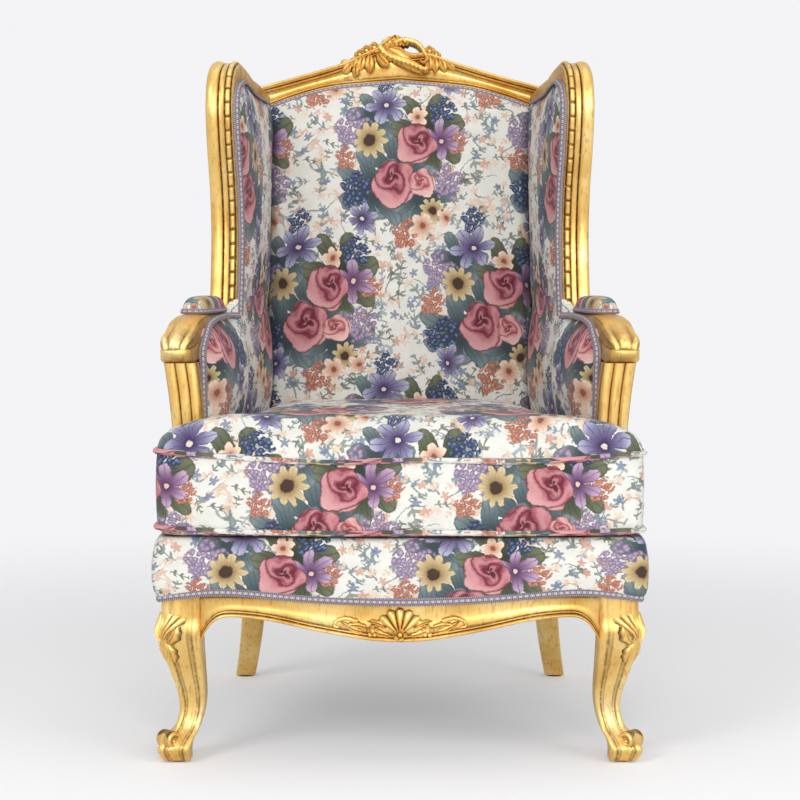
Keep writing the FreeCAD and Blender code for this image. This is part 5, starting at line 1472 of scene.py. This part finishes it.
def gimp(name, keys, pair=False, width=13.0):
    """Braid along a path. A key is a point and the direction that the braid faces there."""
    spots, facing = [Vector(p) for p, _ in keys], [Vector(n) for _, n in keys]
    length = sum((b - a).length for a, b in zip(spots, spots[1:]))
    count = max(8, int(length / GIMP_STEP))
    path, normals = smooth_path(spots, count), []
    index = 0
    for spot in path:
        reach = range(index, min(index + 3, len(spots)))
        index = min(reach, key=lambda i: (spots[i] - spot).length)
        other = min(index + 1, len(spots) - 1)
        span = (spots[other] - spots[index]).length
        share = min((spot - spots[index]).length / span, 1) if span > 1e-6 else 0
        normals.append(facing[index].lerp(facing[other], share).normalized())
    points, uv = [], []
    across = [-1, -0.8, -0.45, 0, 0.45, 0.8, 1]
    run = 0.0
    for i, (spot, normal) in enumerate(zip(path, normals)):
        along = path[min(i + 1, count - 1)] - path[max(i - 1, 0)]
        side = along.normalized().cross(normal).normalized()
        run += (spot - path[i - 1]).length if i else 0
        loop = abs(math.sin(math.pi * run / GIMP_SCALLOP))
        half = width / 2 * (0.86 + 0.14 * loop)
        section = [(share, 2.6 * (1 - share * share) ** 0.5 + 0.5 * loop * (abs(share) > 0.4))
                   for share in across]
        for share, lift in (*section, (0.7, -1.5), (-0.7, -1.5)):
            points.append(spot + side * share * half + normal * lift)
            uv.append((run * MM, share))
    add = add_pair if pair else add_piece
    add(name, points, ring_faces(count, len(across) + 2), gimp_cloth, "floral_fabric", uv=uv, sharp=80)


def make_gimp():
    """Braid over every edge where cloth meets show wood."""
    front = [(0, -369), (120, -366), (250, -360), (318, -354), (345, -350), (354, -341), (355, -318),
             (355, -254)]
    outline = [(-x, y) for x, y in reversed(front[1:])] + front
    keys = []
    for i, (x, y) in enumerate(outline):
        after, before = outline[min(i + 1, len(outline) - 1)], outline[max(i - 1, 0)]
        keys.append(((x, y, deck_low(x) - 1), (after[1] - before[1], before[0] - after[0], 0)))
    gimp("gimp_seat", keys)
    gimp("gimp_side", [((side_line(y) - 1, y, 268), (-1, 0, 0)) for y in range(-254, 226, 60)], pair=True)
    gimp("gimp_crest", [(back_point(x, crest_low(x) - 1, 27), (0, -0.8, 0.6)) for x in range(-222, 223, 37)],
         width=10)
    behind = (0, math.cos(RAKE), -math.sin(RAKE))
    edge = [(-236, 12), (-240, 250), (-243, 500), (-246, 720), (-230, 738), (-120, crest_low(120) - 6),
            (0, crest_low(0) - 6)]
    edge += [(-x, up) for x, up in reversed(edge[:-1])]
    gimp("gimp_outside_back", [(back_point(x, up, -17), behind) for x, up in edge])
    rail = smooth_path(wing_keys(), 40)
    inner = [p + n * 37 for p, n in zip(rail, edge_normals(rail))]
    gimp("gimp_wing_outside", [(wing_point(p.x, p.y, 17), WING_OUT) for p in inner[:-2]], pair=True)
    keys = []
    for p, n in zip(rail[:-2], edge_normals(rail)):
        outward = WING_FORWARD * -n.x - Vector((0, 0, n.y))
        spot = p + n * wing_inset(p.y, 11, 33)
        keys.append((wing_point(spot.x, spot.y, -23), outward * 0.75 - WING_OUT * 0.66))
    gimp("gimp_wing", keys, pair=True)
    foot, front_face = keys[0]
    sweep = [(foot, front_face), (foot + Vector((-6, -15, 0)), (0.6, -0.5, 0.6))]
    for x, y, z in ((-275, -32, 649), (-281, -62, 648), (-287, -102, 646), (-294, -142, 639),
                    (-297, -172, 622)):
        sweep.append(((x, y, z), (0.45, -0.35, 0.82) if y > -140 else (0.35, -0.75, 0.55)))
    for z in (600, 570, 520, 460, 400, 345):
        sweep.append(((-300 + 3 * (600 - z) / 255, -194, z), (0.35, -0.94, 0.05)))
    gimp("gimp_arm", sweep, pair=True)
    ring = []
    for k in range(25):
        turn = 2 * math.pi * k / 24
        ring.append(((*arm_pad_point(turn, 23.5, 77), ARM_TOP + 3), (math.cos(turn), math.sin(turn), 0.2)))
    gimp("gimp_arm_pad", ring, pair=True, width=8)


make_inside_back()
make_gimp()
make_wing_pads()
make_inside_arms()
make_outside_back()
make_arm_pads()
make_deck()
make_cushion()
make_dust_cover()

# Solids that show as they are
for material, nodes in ((beech, ("back_rail", "lower_back_rail", "dowels", "corner_blocks")),
                        (jute, ("back_webbing", "seat_webbing", "burlap")), (felt, ("foot_glides",))):
    for node in nodes:
        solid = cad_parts[node]
        solid.data.materials.clear()
        solid.data.materials.append(material)

# Floor, light and camera, in metres

PAPER = (0.97, 0.97, 0.975)
PAPER_SEEN = (0.9, 0.9, 0.92)
AMBIENT = 0.46
NEAR_SHARE = 0.24
FLOOR_HALF = 9
CURVE_START = 2.2
CURVE_RADIUS = 1.6
WALL_TOP = 7


def link(thing):
    """Puts an object in the scene."""
    bpy.context.scene.collection.objects.link(thing)


def make_floor():
    """Pale paper that curves up behind the chair. Near the chair it shows mostly light and shadow."""
    g = Graph("studio_paper")
    distance = g.vector("LENGTH", g.place())
    share = g.math("MULTIPLY_ADD", g.step(distance, 0.8, 2.4), 1 - NEAR_SHARE, NEAR_SHARE)
    shown = g.math("MULTIPLY", g.seen(), share)
    g.look(Base_Color=g.mix(shown, PAPER, (0.0, 0.0, 0.0)), Emission_Color=PAPER_SEEN,
           Emission_Strength=shown, Specular_IOR_Level=0, Roughness=0.9)
    profile = [(-FLOOR_HALF, 0), (CURVE_START, 0)]
    for turn in spread(0, math.pi / 2, 12)[1:]:
        profile.append((CURVE_START + CURVE_RADIUS * math.sin(turn), CURVE_RADIUS * (1 - math.cos(turn))))
    profile.append((CURVE_START + CURVE_RADIUS, WALL_TOP))
    points = [(x, y, z) for y, z in profile for x in (-FLOOR_HALF, FLOOR_HALF)]
    mesh = bpy.data.meshes.new("studio_floor")
    mesh.from_pydata(points, [], [(2 * i, 2 * i + 1, 2 * i + 3, 2 * i + 2) for i in range(len(profile) - 1)])
    floor = bpy.data.objects.new("studio_floor", mesh)
    mesh.materials.append(g.owner)
    mesh.shade_smooth()
    link(floor)


def make_light():
    """Soft lamps, and a world that looks paler than it lights."""
    g = Graph("studio", "worlds", "Background")
    strength = g.math("MULTIPLY_ADD", g.seen(), PAPER_SEEN[0] - AMBIENT, AMBIENT)
    g.look(Color=(0.97, 0.98, 1.0), Strength=strength)
    bpy.context.scene.world = g.owner
    for name, place, aim, size, power in (("key", (-2.2, -3.2, 2.9), (0, 0, 0.6), 1.6, 53),
                                          ("fill", (2.6, -2.8, 1.9), (0, 0, 0.6), 2.2, 38),
                                          ("top", (0.2, -0.4, 3.4), (0, 0, 0.5), 2.4, 16),
                                          ("front", (0.3, -4.2, 1.6), (0, 0.2, 0.8), 1.8, 62)):
        light = bpy.data.lights.new(name, "AREA")
        light.size = size
        light.energy = power
        lamp = bpy.data.objects.new(name, light)
        lamp.location = place
        lamp.rotation_euler = (Vector(aim) - Vector(place)).to_track_quat("-Z", "Y").to_euler()
        link(lamp)


def make_camera():
    """The camera fitted to the photograph, a little above the seat and tilted down."""
    lens = bpy.data.cameras.new("camera")
    lens.sensor_width = 36
    lens.lens = 92.95
    camera = bpy.data.objects.new("camera", lens)
    camera.location = (0, -3.335, 0.742)
    camera.rotation_euler = (math.radians(90 - 3.96), 0, 0)
    link(camera)
    bpy.context.scene.camera = camera
    bpy.context.scene.view_settings.view_transform = "Standard"


make_floor()
make_light()
make_camera()
